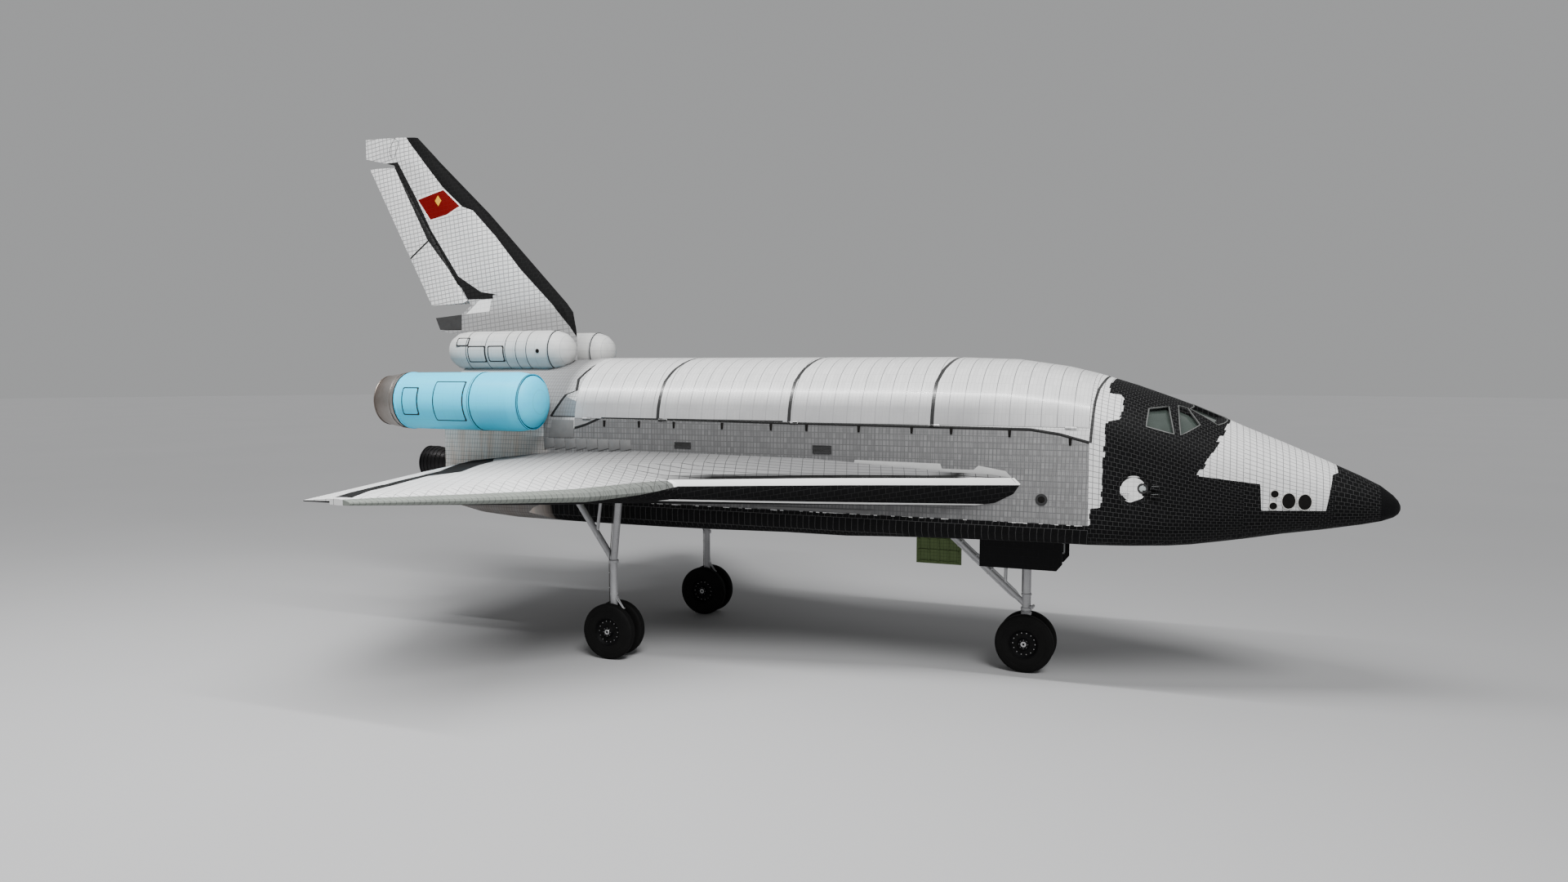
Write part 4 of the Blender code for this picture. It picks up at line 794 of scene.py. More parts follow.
class Shape:
    """A piece in the making. Each form is added to the same bmesh, and piece() finishes it."""

    def __init__(self):
        self.bm = bmesh.new()

    def soft_edges(self, verts, edge):
        if edge:
            soften(self.bm, once(e for v in verts for e in v.link_edges), edge)
        return self

    def plate(self, outline, low, high, edge=0.004):
        """A plate drawn in the side view as (aft, height), from one Y to another."""
        corners = [self.bm.verts.new((station(aft), low, up)) for aft, up in outline]
        far = thicken(self.bm, [self.bm.faces.new(corners)], (0, high - low, 0))
        return self.soft_edges(corners + far, edge)

    def box(self, place, size, edge):
        made = bmesh.ops.create_cube(self.bm, size=1, matrix=place @ Matrix.Diagonal((*size, 1)))["verts"]
        return self.soft_edges(made, edge)

    def block(self, fore, rear, y0, y1, low, high, edge=0.006):
        middle = (station((fore + rear) / 2), (y0 + y1) / 2, (low + high) / 2)
        return self.box(Matrix.Translation(middle), (rear - fore, abs(y1 - y0), high - low), edge)

    def rod(self, start, end, radius, sides=14, edge=0.003):
        start, along = Vector(start), Vector(end) - Vector(start)
        place = Matrix.Translation(start + along / 2) @ along.to_track_quat("Z", "Y").to_matrix().to_4x4()
        made = bmesh.ops.create_cone(self.bm, cap_ends=True, segments=sides, radius1=radius, radius2=radius,
                                     depth=along.length, matrix=place)["verts"]
        if edge:
            caps = [f for v in made for f in v.link_faces if len(f.verts) > 4]
            soften(self.bm, once(e for f in caps for e in f.edges), edge, 1)
        return self

    def turned(self, outline, centre, axis, steps=32, closed=False):
        """Turn an outline of (along, radius) about a line through centre."""
        bm, centre, axis = self.bm, Vector(centre), Vector(axis)
        turn = axis.to_track_quat("Z", "Y").to_matrix()
        verts = [bm.verts.new(centre + turn @ Vector((radius, 0, along))) for along, radius in outline]
        edges = [bm.edges.new(pair) for pair in zip(verts, verts[1:] + (verts[:1] if closed else []))]
        bmesh.ops.spin(bm, geom=verts + edges, cent=centre, axis=axis, angle=2 * math.pi, steps=steps, use_merge=True)
        bmesh.ops.remove_doubles(bm, verts=bm.verts, dist=0.00005)
        return self

    def studs(self, centre, axis, ring, count, radius, tall, sides=6):
        """Bolt heads evenly round a circle."""
        axis = Vector(axis)
        turn = axis.to_track_quat("Z", "Y").to_matrix()
        for angle in (2 * math.pi * number / count for number in range(count)):
            foot = Vector(centre) + turn @ Vector((ring * math.cos(angle), ring * math.sin(angle), 0))
            self.rod(foot, foot + axis * tall, radius, sides, edge=0)
        return self

    def piece(self, name, finish, body="airframe", sharp=32):
        bmesh.ops.recalc_face_normals(self.bm, faces=self.bm.faces)
        return finish_mesh(name, self.bm, finish, body, sharp)


print("shaping helpers ready")

# %% [markdown]
# ## Extra finishes for the fittings
# Window frames and thruster rims are pale ceramic, holes are soot black, bolts and handles are bare
# bright steel. They are separate finishes, so that each keeps its own grain and wear. The black discs
# that stand in for the wheels' holes are painted shade.

# %% Fitting finishes
def plain_paint(name, slot, clean, worn, roughness, scale=8, **steady):
    """A fitting's paint: two shades, mixed by wear, with a fine grain in its surface."""
    finish = Finish(name, slot)
    wear = finish.noise(scale, 5, roughness=0.65)
    grain = finish.noise(scale * 9, 2)
    return finish.paint(finish.mix(wear, clean, worn), roughness + wear * 0.2, wear + grain * 0.4,
                        depth=0.001, **steady)


rim_ceramic = plain_paint("rim_ceramic", "white_tile", (0.66, 0.65, 0.62), (0.4, 0.39, 0.37), 0.42)
soot_black = plain_paint("soot_black", "dark_paint", 0.002, (0.01, 0.009, 0.008), 0.55, specular_ior_level=0.1)
bright_steel = plain_paint("bright_steel", "silver_paint", 0.62, (0.34, 0.34, 0.35), 0.24, 22, metallic=0.9)
seal_rubber = plain_paint("seal_rubber", "dark_paint", (0.012, 0.012, 0.013), 0.03, 0.6, 14)
frame_grey = plain_paint("frame_grey", "silver_paint", (0.4, 0.41, 0.41), (0.22, 0.23, 0.23), 0.4)
frame_trim = plain_paint("frame_trim", "silver_paint", (0.15, 0.155, 0.15), (0.07, 0.072, 0.07), 0.4, 16)
row_plate = plain_paint("row_plate", "white_felt", 0.17, 0.1, 0.45, 2.5)
porthole_glass = plain_paint("porthole_glass", "window_glass", (0.42, 0.45, 0.45), (0.26, 0.29, 0.29), 0.08, 6,
                             coat_weight=0.5)
liner_felt = plain_paint("liner_felt", "white_felt", (0.55, 0.56, 0.52), (0.38, 0.39, 0.36), 0.6, 3)
hose_rubber = plain_paint("hose_rubber", "tyre", 0.014, 0.03, 0.5, 30)
vent_grey = plain_paint("vent_grey", "dark_paint", 0.05, 0.025, 0.5, 6)
side_plate = plain_paint("side_plate", "white_felt", (0.42, 0.42, 0.415), 0.28, 0.4, 2.5)
coat("drag_chute_housing", vent_grey)
print("finishes:", len([m for m in bpy.data.materials if m.use_nodes]))

# %% [markdown]
# ## Window frames
# Each pane of the cabin sits in a dull metal frame that stands a little proud of the black tiles. Its
# outline is dropped by ray casting onto the curved nose, a second loop is set one frame width away
# along the skin, and the two are bridged. A Solidify modifier then gives the ring its wall.

# %% Window frames
FRAME_WIDTH, FRAME_PROUD, FRAME_WALL = 0.03, 0.016, 0.04
LOOK_BACK = 6  # a ray towards the nose starts this far outside the plane a pane is drawn in
PANE_X, PANE_Y = 12, 2  # the planes in which front and side panes are drawn


def surface_of(node):
    """A CAD node's merged surface, ready for rays."""
    bm = merged(node)
    tree = BVHTree.FromBMesh(bm)
    bm.free()
    return tree


nose_tree = surface_of("forward_fuselage")


def grown(corners, by):
    """An outline moved outwards by one width."""
    turn = sum(x0 * y1 - x1 * y0 for (x0, y0), (x1, y1) in zip(corners, corners[1:] + corners[:1]))
    moved = []
    for index, corner in enumerate(corners):
        here = Vector(corner)
        back = (here - Vector(corners[index - 1])).normalized()
        ahead = (Vector(corners[(index + 1) % len(corners)]) - here).normalized()
        normal = Vector((back.y + ahead.y, -back.x - ahead.x)) * math.copysign(1, turn)
        moved.append(here + normal * by / max(normal.length_squared / 2, 0.3))
    return moved


def window_frame(name, corners, look):
    """corners are (aft, height) for a side pane, or (off, height) for a front one."""
    bm, look = bmesh.new(), Vector(look)
    verts = [bm.verts.new((PANE_X, u, up) if look.x else (station(u), -look.y * PANE_Y, up))
             for u, up in grown(corners, 0.005)]
    for pair in zip(verts, verts[1:] + verts[:1]):
        bm.edges.new(pair)
    bmesh.ops.subdivide_edges(bm, edges=bm.edges[:], cuts=3)
    normals = {}
    for vert in bm.verts:
        place, normal = nose_tree.ray_cast(vert.co - look * LOOK_BACK, look)[:2]
        if place is None or normal.dot(look) > -0.05:
            place, normal = nose_tree.find_nearest(vert.co)[:2]
        vert.co, normals[vert] = place, normal
    middle = sum((vert.co for vert in bm.verts), Vector()) / len(bm.verts)
    away = {}
    for vert in bm.verts:
        before, after = [edge.other_vert(vert).co for edge in vert.link_edges]
        away[vert] = (after - before).cross(normals[vert]).normalized()
        if away[vert].dot(vert.co - middle) < 0:
            away[vert].negate()
    twins = bmesh.ops.duplicate(bm, geom=bm.verts[:] + bm.edges[:])["vert_map"]
    for vert, normal in normals.items():
        outer = nose_tree.find_nearest(vert.co + away[vert] * FRAME_WIDTH)[0]
        twins[vert].co = outer + normal * FRAME_PROUD
        vert.co += normal * FRAME_PROUD
    bmesh.ops.bridge_loops(bm, edges=bm.edges[:])
    bm.normal_update()
    if sum(face.normal.dot(look) for face in bm.faces) > 0:  # the ring faces into the cabin
        bmesh.ops.reverse_faces(bm, faces=bm.faces[:])
    wall = finish_mesh(name, bm, frame_trim, "airframe", sharp=40).modifiers.new("wall", "SOLIDIFY")
    wall.thickness, wall.offset = FRAME_WALL, -1


SIDE_PANES = {"rear": [(6.56, 8.38), (6.08, 8.43), (5.9, 7.72), (6.6, 7.92)],
              "mid": [(5.8, 8.45), (5.58, 8.38), (5.24, 7.95), (5.7, 7.69)]}
FRONT_PANE = [(0.1, 8.46), (1.02, 8.36), (1.3, 7.94), (0.1, 8.1)]
for side, hand in SIDES:
    for pane, corners in SIDE_PANES.items():
        window_frame(f"window_frame_{pane}_{side}", corners, (0, -hand, 0))
    window_frame(f"window_frame_front_{side}", [(hand * off, up) for off, up in FRONT_PANE], AFT)
print("window frames: 6")

# %% [markdown]
# ## Thruster ports, vents and small round fittings
# Two small and two large thrusters open on each cheek of the nose. A port is a pale rim round a
# sooty throat. Each is made flat, as rings of a circle, dropped on the skin and given a thickness.
# Further back, the body's flat wall carries a capped service port and two slatted vents a side.

# %% Thruster ports
PORTS = {"thruster_a": (3.27, 6.09, 0.1), "thruster_b": (3.3, 5.76, 0.1),
         "thruster_c": (2.91, 5.9, 0.17), "thruster_d": (2.5, 5.87, 0.17)}  # aft, height, radius
RIM = 0.02


def round_port(name, aft, up, radius, hand):
    """A rim and a throat on the nose's cheek; a large one is taller than it is wide."""
    look = Vector((0, -hand, 0))
    tall = 1.25 if radius > 0.12 else 1
    place = (Matrix.Translation((station(aft), hand * PANE_Y, up)) @ Matrix.Diagonal((1, 1, tall, 1))
             @ Matrix.Rotation(-hand * math.pi / 2, 4, "X"))
    for part, outer, inset, lift, finish in (("rim", radius + RIM, RIM, 0.024, rim_ceramic),
                                             ("throat", radius, radius * 0.35, 0.007, soot_black)):
        port = Shape()
        bm = port.bm
        bmesh.ops.create_circle(bm, cap_ends=True, segments=28, radius=outer, matrix=place)
        disc = bm.faces[:]
        bmesh.ops.inset_region(bm, faces=disc, thickness=inset, use_even_offset=True, use_boundary=True)
        if part == "rim":
            bmesh.ops.delete(bm, geom=disc, context="FACES")
        for vert in bm.verts:
            hit = nose_tree.ray_cast(vert.co - look * LOOK_BACK, look)[0]
            if hit:
                vert.co = hit - look * lift
        thicken(bm, bm.faces[:], look * (lift + 0.01))
        port.piece(f"{name}_{part}", finish)


for side, hand in SIDES:
    for port, measures in PORTS.items():
        round_port(f"{port}_{side}", *measures, hand)
print("thruster ports:", 2 * len(PORTS))

# %% Service ports and vents
PORT_RING = [(-0.01, 0.17), (0.014, 0.17), (0.018, 0.165), (0.018, 0.105), (0.014, 0.1), (-0.01, 0.1)]
PORT_CAP = [(-0.01, 0.0999), (0.009, 0.0995), (0.014, 0.06), (0.015, 0)]
VENT_RIM = 0.035


def slatted_vent(name, fore, rear, low, high, hand, slats):
    """A framed grille on the body's side wall."""
    def layer(shape, x0, x1, z0, z1, deep, proud, **edge):
        return shape.block(x0, x1, hand * (WALL + deep), hand * (WALL + proud), z0, z1, **edge)

    x0, x1, z0, z1 = fore + VENT_RIM, rear - VENT_RIM, low + VENT_RIM, high - VENT_RIM
    grille = Shape()
    for bar in ((fore, rear, z1, high), (fore, rear, low, z0), (fore, x0, z0, z1), (x1, rear, z0, z1)):
        layer(grille, *bar, -0.01, 0.02)
    grille.piece(name + "_frame", seal_rubber)
    grille = layer(Shape(), x0, x1, z0, z1, -0.01, 0.004, edge=0)
    pitch = (z1 - z0) / slats
    for number in range(slats):
        foot = z0 + pitch * (number + 0.25)
        layer(grille, x0, x1, foot, foot + pitch * 0.4, 0.002, 0.016, edge=0.001)
    grille.piece(name + "_slats", vent_grey)


for side, hand in SIDES:
    port = ((station(9.4), hand * WALL, 5.77), (0, hand, 0), 28)
    Shape().turned(PORT_RING, *port).piece(f"service_port_ring_{side}", seal_rubber)
    Shape().turned(PORT_CAP, *port).piece(f"service_port_cap_{side}", soot_black)
    slatted_vent(f"bay_vent_front_{side}", 15.78, 16.4, 6.9, 7.16, hand, 6)
    slatted_vent(f"bay_vent_rear_{side}", 20.62, 21.22, 6.94, 7.14, hand, 5)
print("service ports: 2, vents: 4")

# %% [markdown]
# ## Door hinge covers and side plates
# Short dark covers mark the bay door hinges below the sill, and light plates protect the joint of
# wing and body. They are thin plates with bevelled edges, drawn in the side view and set on the
# flat side wall, because there a drawing in two directions is the real shape.

# %% Hinge covers and side plates
HINGE_COVERS = (8.62, 10.33, 12.04, 13.24, 14.9, 16.6, 17.8, 19.5, 21.24, 22.54, 23.87)
FRONT_PLATE = [(10.12, 6.24), (10.43, 6.56), (11.22, 6.69), (11.37, 6.56), (12.3, 6.56), (12.36, 6.71), (15.02, 6.74),
               (15.06, 6.6), (12, 6.4), (10.9, 6.3)]
TAIL_PATCH = [(25.08, 7.19), (25.08, 7.79), (25.94, 7.79), (26.08, 7.17)]
KEEL_PLATE = [(14.4, 5.22), (18.5, 5.17), (18.2, 5.11), (14.6, 5.11)]
for side, hand in SIDES:
    def on_wall(shape, outline, proud, deep=0.01):
        """A plate from a little inside the wall to a little proud of it."""
        return shape.plate(outline, hand * (WALL - deep), hand * (WALL + proud))

    covers, row = Shape(), Shape()
    for aft in HINGE_COVERS:
        top = 7.56 if aft < 9 else 7.76 if aft < 11 else 7.8
        foot = top - 0.21
        outline = [(aft - 0.045, top), (aft + 0.045, top), (aft + 0.035, foot), (aft - 0.03, foot)]
        on_wall(covers, outline, 0.014, 0.02)
    covers.piece(f"hinge_covers_{side}", soot_black)
    on_wall(Shape(), FRONT_PLATE, 0.02).piece(f"root_plates_{side}", side_plate)
    on_wall(row, TAIL_PATCH, 0.014)
    for number in range(8):
        fore = 22.85 + number * 0.43
        on_wall(row, [(fore, 6.86), (fore + 0.02, 7.16), (fore + 0.42, 7.15), (fore + 0.4, 6.76)], 0.016)
    on_wall(row, KEEL_PLATE, 0.014, 0.06).piece(f"root_row_{side}", row_plate)
print("hinge covers:", 2 * len(HINGE_COVERS))

# %% [markdown]
# ## Crew hatch
# The round hatch has white tiles on its rear part and black on the rest, a small porthole near its
# front edge, and a flush handle. The porthole and handle ride on the hatch and swing with it.

# %% Crew hatch
HATCH_AFT, HATCH_UP = 6.9, 6.16
OUTBOARD = (0, -1, 0)  # the hatch is on the starboard side
hatch_tiles = Finish("hatch_tiles", "white_tile")
aft, up = hatch_tiles.aft, hatch_tiles.height
reach = hatch_tiles.node("VectorMath", {"operation": "LENGTH"}, {
    0: hatch_tiles.vector(aft - HATCH_AFT, up - HATCH_UP)}, output="Value")
white_part = (aft > 6.66 + ragged(hatch_tiles, up, 0.13, 0.06)) & (
    reach < 0.355 + ragged(hatch_tiles, up, 0.13, 0.05)) & (up > 5.8 + (6.95 - aft | 0) * 0.4)
hatch_tiles.paint(*tiled_skin(hatch_tiles, 1 - white_part, aft, up, white=(0.15, 0.13))[:3],
                  strength=0.4, specular_ior_level=0.15)
skins["crew_hatch"].data.materials[0] = hatch_tiles.material
hatch_tree = surface_of("crew_hatch")


def on_hatch(aft, up):
    """Where a straight line from starboard meets the hatch."""
    return hatch_tree.ray_cast(Vector((station(aft), -4, up)), Vector((0, 1, 0)))[0]


porthole = on_hatch(6.66, 6.19)
Shape().turned([(-0.05, 0.15), (0.012, 0.15), (0.022, 0.14), (0.022, 0.1), (0.012, 0.09), (-0.05, 0.09)], porthole,
               OUTBOARD, 28).piece("hatch_porthole_ring", seal_rubber, "hatch")
Shape().turned([(-0.04, 0.0895), (0.012, 0.0895), (0.016, 0.05), (0.017, 0)], porthole,
               OUTBOARD, 28).piece("hatch_porthole_glass", porthole_glass, "hatch")
handle, up = Shape(), 6.05
skin = on_hatch(7.1, up).y
grip = skin - 0.045
for aft in (7.02, 7.2):
    handle.rod((station(aft), skin + 0.03, up), (station(aft), grip, up), 0.012)
handle.rod((station(7), grip, up), (station(7.22), grip, up), 0.014)
handle.piece("hatch_handle", bright_steel, "hatch")
print("porthole at", [round(value, 3) for value in porthole])

# %% [markdown]
# ## Pods: bands, access panels and nozzles
# Each side pod carries three clamp bands and two access panels, each top pod four thin bands, three
# panels and a dark port. A panel starts as a flat plate, is cut into strips and bent round the pod,
# so its bevelled edge follows the curve. A thin dark seal runs round it.

# %% Pod bands and panels
def pod_panel(name, fore, rear, low, high, centre, radius, finish):
    """low and high are distances round the pod from its outboard side."""
    for part, grow, lift in (("seal", 0.052, 0.009), ("panel", 0, 0.018)):
        panel = Shape()
        bm = panel.bm
        x0, x1, y0, y1 = station(fore - grow), station(rear + grow), low - grow, high + grow
        face = bm.faces.new([bm.verts.new((x, y, -0.01)) for x, y in ((x0, y0), (x1, y0), (x1, y1), (x0, y1))])
        soften(bm, face.verts[:], 0.05, 3, "VERTICES")
        thicken(bm, bm.faces[:], (0, 0, lift + 0.01))
        soften(bm, bm.edges[:], 0.003, 1)
        for step in range(1, 12):
            bmesh.ops.bisect_plane(bm, geom=bm.verts[:] + bm.edges[:] + bm.faces[:],
                                   plane_co=(0, low + (high - low) * step / 12, 0), plane_no=(0, 1, 0))
        for vert in bm.verts:  # y runs round the pod and z is the height above its skin
            angle, r = vert.co.y / radius, radius + vert.co.z
            _, off, up = centre
            vert.co = Vector((vert.co.x, off + math.copysign(r * math.cos(angle), off), up + r * math.sin(angle)))
        panel.piece(f"{name}_{part}", seal_rubber if part == "seal" else finish)


def band(radius, low, profile):
    """A band's outline: (along, rise) points over a pod of this radius, closed down to low."""
    return [(profile[0][0], radius - low)] + [(along, radius + rise) for along, rise in profile] + [
        (profile[-1][0], radius - low)]


SIDE_BAND = ((-0.03, 0.008), (-0.02, 0.014), (0.02, 0.014), (0.03, 0.008))
TOP_BAND = ((-0.02, 0.004), (0, 0.009), (0.02, 0.004))
TOP_PANELS = ((29.3, 29.98, -0.4, 0.12), (28.5, 29.1, -0.38, 0.12), (30.05, 30.5, 0.2, 0.46))
for side, hand in SIDES:
    centre = (0, hand * 3.75, 8.42)
    pod_panel(f"side_pod_hatch_large_{side}", 28.2, 29.36, -0.66, 0.7, centre, 0.988, blue_paint)
    pod_panel(f"side_pod_hatch_small_{side}", 30.1, 30.68, -0.44, 0.45, centre, 0.982, blue_paint)
    bands = Shape()
    for aft, radius in ((26.06, 0.93), (27.94, 0.995), (31.02, 0.983)):
        bands.turned(band(radius, 0.01, SIDE_BAND), (station(aft), *centre[1:]), AFT, 64)
    bands.piece(f"side_pod_bands_{side}", blue_paint)
    centre = (0, hand * 1.36, 10.19)
    for number, measures in enumerate(TOP_PANELS):
        pod_panel(f"top_pod_hatch_{number}_{side}", *measures, centre, 0.708, pod_felt)
    bands = Shape()
    for aft in (26.62, 27.5, 28.4, 30.1):
        bands.turned(band(0.71, 0.01, TOP_BAND), (station(aft), *centre[1:]), AFT, 56)
    bands.piece(f"top_pod_bands_{side}", pod_felt)
    Shape().turned([(-0.05, 0.075), (0.016, 0.075), (0.02, 0.06), (0.012, 0.05), (0.008, 0)],
                   (station(27.02), hand * 2.06, 10.16), (0, hand, 0), 20).piece(f"top_pod_port_{side}", soot_black)
print("pod panels:", 2 * (2 + len(TOP_PANELS)))

# %% [markdown]
# Inside each exhaust nozzle sit a tail cone and a ring of vanes, as on the real jets. The lip of the
# nozzle is rolled over. The orbital engine bells get cooling hoops and a rolled lip.

# %% Nozzles and bells
TAIL_CONE = [(31.13, 0), (31.13, 0.34), (31.25, 0.33), (31.5, 0.26), (31.78, 0.13), (31.9, 0.04), (31.92, 0)]
CONE_PLATE = [(31.13, 0.3), (31.13, 0.9), (31.16, 0.9), (31.16, 0.3)]
NOZZLE_LIP = [(32.03, 0.845), (32.02, 0.862), (32.035, 0.872), (32.052, 0.868), (32.058, 0.85), (32.052, 0.8),
              (32.04, 0.79), (32.03, 0.8)]
NOZZLE_HOOP = [(31.3, 0.945), (31.3, 0.975), (31.34, 0.975), (31.34, 0.94)]
NOZZLE_SEAL = [(31.085, 0.96), (31.09, 0.992), (31.125, 0.992), (31.13, 0.96)]
BELL_HOOPS = ((30.62, 0.348), (31, 0.36), (31.18, 0.411), (31.35, 0.46), (31.5, 0.51), (31.65, 0.56), (31.8, 0.585),
              (31.95, 0.61), (32.12, 0.607))
BELL_LIP = [(32.27, 0.6), (32.26, 0.615), (32.285, 0.625), (32.305, 0.61), (32.3, 0.565), (32.28, 0.56)]
BELL_BASE = [(30.495, 0.345), (30.53, 0.345), (30.545, 0.36), (30.545, 0.47), (30.53, 0.49), (30.495, 0.49)]
for side, hand in SIDES:
    centre = Vector((station(0), hand * 3.75, 8.42))  # outlines give their own distance aft
    cone = Shape().turned(TAIL_CONE, centre, AFT).turned(CONE_PLATE, centre, AFT, 48, closed=True)
    for angle in (2 * math.pi * number / 16 for number in range(16)):
        out = Vector((0, math.cos(angle), math.sin(angle)))
        middle = centre - Vector((31.24, 0, 0))
        cone.rod(middle + out * 0.33, middle + out * 0.88, 0.018, 8, edge=0)
    cone.piece(f"nozzle_cone_{side}", nozzle_steel)
    Shape().turned(NOZZLE_LIP, centre, AFT, 64, closed=True).turned(
        NOZZLE_HOOP, centre, AFT, 64, closed=True).piece(f"nozzle_lip_{side}", nozzle_steel)
    Shape().turned(NOZZLE_SEAL, centre, AFT, 64, closed=True).piece(f"nozzle_seal_{side}", seal_rubber)
    centre = Vector((station(0), hand * 1.5, 6.02))
    hoops = Shape()
    for aft, radius in BELL_HOOPS:
        hoops.turned([(aft - 0.016, radius - 0.01), (aft - 0.012, radius + 0.012), (aft + 0.012, radius + 0.014),
                      (aft + 0.016, radius - 0.01)], centre, AFT, 48)
    hoops.turned(BELL_LIP, centre, AFT, 48, closed=True).piece(f"bell_hoops_{side}", bell_steel)
    Shape().turned(BELL_BASE, centre, AFT, 48, closed=True).studs(
        centre - Vector((30.54, 0, 0)), AFT, 0.44, 16, 0.016, 0.016).piece(f"bell_base_{side}", frame_grey)
print("bell hoops:", 2 * len(BELL_HOOPS))

# %% [markdown]
# ## Wheels
# A tyre is one outline turned about the axle: bead, sidewall with a moulded ridge, round shoulder,
# and a tread with four water grooves. The wheel is turned the same way, with a dished face, a
# bolted hub and a bright cap. Twin wheels turn together on one axle.

# %% Wheels
TYRE_HALF = [  # (out from the tyre's middle, radius), from the tread to the bead
    (0, 0.915), (0.028, 0.915), (0.03, 0.903), (0.044, 0.903), (0.046, 0.914), (0.078, 0.912), (0.08, 0.899),
    (0.094, 0.898), (0.096, 0.908), (0.12, 0.896), (0.138, 0.872), (0.15, 0.835), (0.157, 0.78), (0.1595, 0.72),
    (0.159, 0.705), (0.1535, 0.7), (0.1535, 0.685), (0.157, 0.68), (0.155, 0.6), (0.149, 0.545), (0.14, 0.5),
    (0.1435, 0.49), (0.1435, 0.47), (0.136, 0.462)]
WHEEL_HALF = [  # (out from the middle of the axle, radius), from the axle to the cap
    (0, 0.075), (0.172, 0.075), (0.175, 0.1), (0.175, 0.45), (0.18, 0.459), (0.45, 0.459), (0.4549, 0.452),
    (0.4549, 0.438), (0.44, 0.428), (0.385, 0.405), (0.365, 0.38), (0.36, 0.23), (0.372, 0.19), (0.43, 0.165),
    (0.4549, 0.155), (0.4549, 0.112), (0.462, 0.1), (0.474, 0.092), (0.4749, 0)]
CAP = [(0.474, 0.088), (0.4785, 0.084), (0.4785, 0.04), (0.474, 0.036)]
TWIN_OFF = 0.32  # from the middle of the axle to the middle of a tyre


def mirrored(half):
    """A half outline and its mirror image as one line."""
    return [(-along, radius) for along, radius in reversed(half[1:])] + half


for gear in ("nose", "main_left", "main_right"):
    body = body_of[f"{gear}_wheel_hubs"]
    low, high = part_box(f"{gear}_wheel_hubs")
    hub = Vector([(a + b) / 2 for a, b in zip(low, high)])
    for side, hand in SIDES:
        tyre = Shape().turned(mirrored(TYRE_HALF), hub + Vector((0, hand * TWIN_OFF, 0)), (0, 1, 0), 72, closed=True)
        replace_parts(tyre.piece(f"{gear}_tyre_{side}_tread", tyre_rubber, body, sharp=24), f"{gear}_tyre_{side}")
    wheel = Shape().turned(mirrored(WHEEL_HALF), hub, (0, 1, 0), 56).piece(f"{gear}_wheel_dish", hub_paint, body)
    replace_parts(wheel, f"{gear}_wheel_hubs")
    bolts, hole_shades = Shape(), Shape()
    for side, hand in SIDES:
        axis, dish = (0, hand, 0), hub + Vector((0, hand * 0.359, 0))
        bolts.studs(dish, axis, 0.345, 14, 0.014, 0.018)
        bolts.studs(hub + Vector((0, hand * 0.4545, 0)), axis, 0.135, 8, 0.009, 0.012).turned(CAP, hub, axis, 28)
        # Black discs on the dish stand in for its holes: painted shade.
        hole_shades.studs(dish, axis, 0.28, 9, 0.036, 0.003, sides=16)
    bolts.piece(f"{gear}_wheel_bolts", bright_steel, body)
    hole_shades.piece(f"{gear}_wheel_hole_shades", soot_black, body)
print("wheels: 6 tyres,", 2 * (14 + 8) * 3, "bolts")

# %% [markdown]
# ## Landing gear legs
# Each leg is an outer cylinder over a bright sliding rod. Two hinged links keep the wheels from
# twisting, collars hold the braces, and thin pipes run down to the brakes. Links and pipes are rods
# between two points, collars are turned, and the nose brace gets a web drawn in the side view.

# %% Landing gear legs
def collars(shape, x, y, *measures):
    """Rings round a leg, each given by its height, radius and length."""
    for up, radius, tall in measures:
        end = tall / 2
        shape.turned([(-end, radius * 0.8), (-end, radius - 0.006), (0.006 - end, radius), (end - 0.006, radius),
                      (end, radius - 0.006), (end, radius * 0.8)], (x, y, up), (0, 0, 1), 28)
    return shape


def scissor_links(shape, x, y, low, high, reach):
    """Two forked links that meet at a pin in front of the leg."""
    middle = (low + high) / 2

    def pin(at, half, up):
        shape.rod((at, y - half, up), (at, y + half, up), 0.024, 12)

    for end in (low, high):
        for spread in (0.05, -0.05):
            shape.rod((x + 0.1, y + spread, end), (x + reach, y + spread * 0.4, middle), 0.018, 10)
        pin(x + 0.11, 0.085, end)
    pin(x + reach, 0.055, middle)
    return shape


x = station(10.22)
links = collars(Shape(), x, 0, (1.16, 0.15, 0.1), (1.82, 0.165, 0.09))
scissor_links(links, x, 0, 1.22, 1.74, 0.34).piece("nose_leg_links", leg_silver, "nose_steering")
steering = collars(Shape(), x, 0, (1.96, 0.175, 0.09), (2.42, 0.165, 0.06), (3.4, 0.16, 0.05))
for half, radius in ((0.16, 0.048), (0.27, 0.02)):
    steering.rod((x + 0.2, -half, 2.03), (x + 0.2, half, 2.03), radius)
for y in (0.07, -0.07):
    steering.rod((x + 0.1, y, 2.03), (x + 0.2, y, 2.03), 0.03)
steering.piece("nose_leg_collars", leg_silver)

brace_foot, brace_head = Vector((10.22, 2.06)), Vector((13, 4.52))  # aft and height, as the brace runs
along = (brace_head - brace_foot).normalized()
across = Vector((-along.y, along.x)) * 0.132
low, high = brace_foot + along * 0.42, brace_head - along * 0.12
full = low + along * 0.15  # where the web reaches its full width
web = Shape().plate([low - across * 0.8, low + across * 0.8, full + across, high + across, high - across,
                     full - across], -0.032, 0.032)
for share in (0.35, 0.55, 0.75):
    at, thick = low.lerp(high, share), along * 0.03
    web.plate([at - across, at + across, at + across + thick, at - across + thick], -0.1, 0.1)
web.piece("nose_brace_web", leg_silver)
pipes = Shape()
for y in (0.11, -0.11):
    pipes.rod((x - 0.12, y, 2.5), (x - 0.12, y, 4.8), 0.012, 8)
pipes.piece("nose_leg_pipes", hose_rubber)

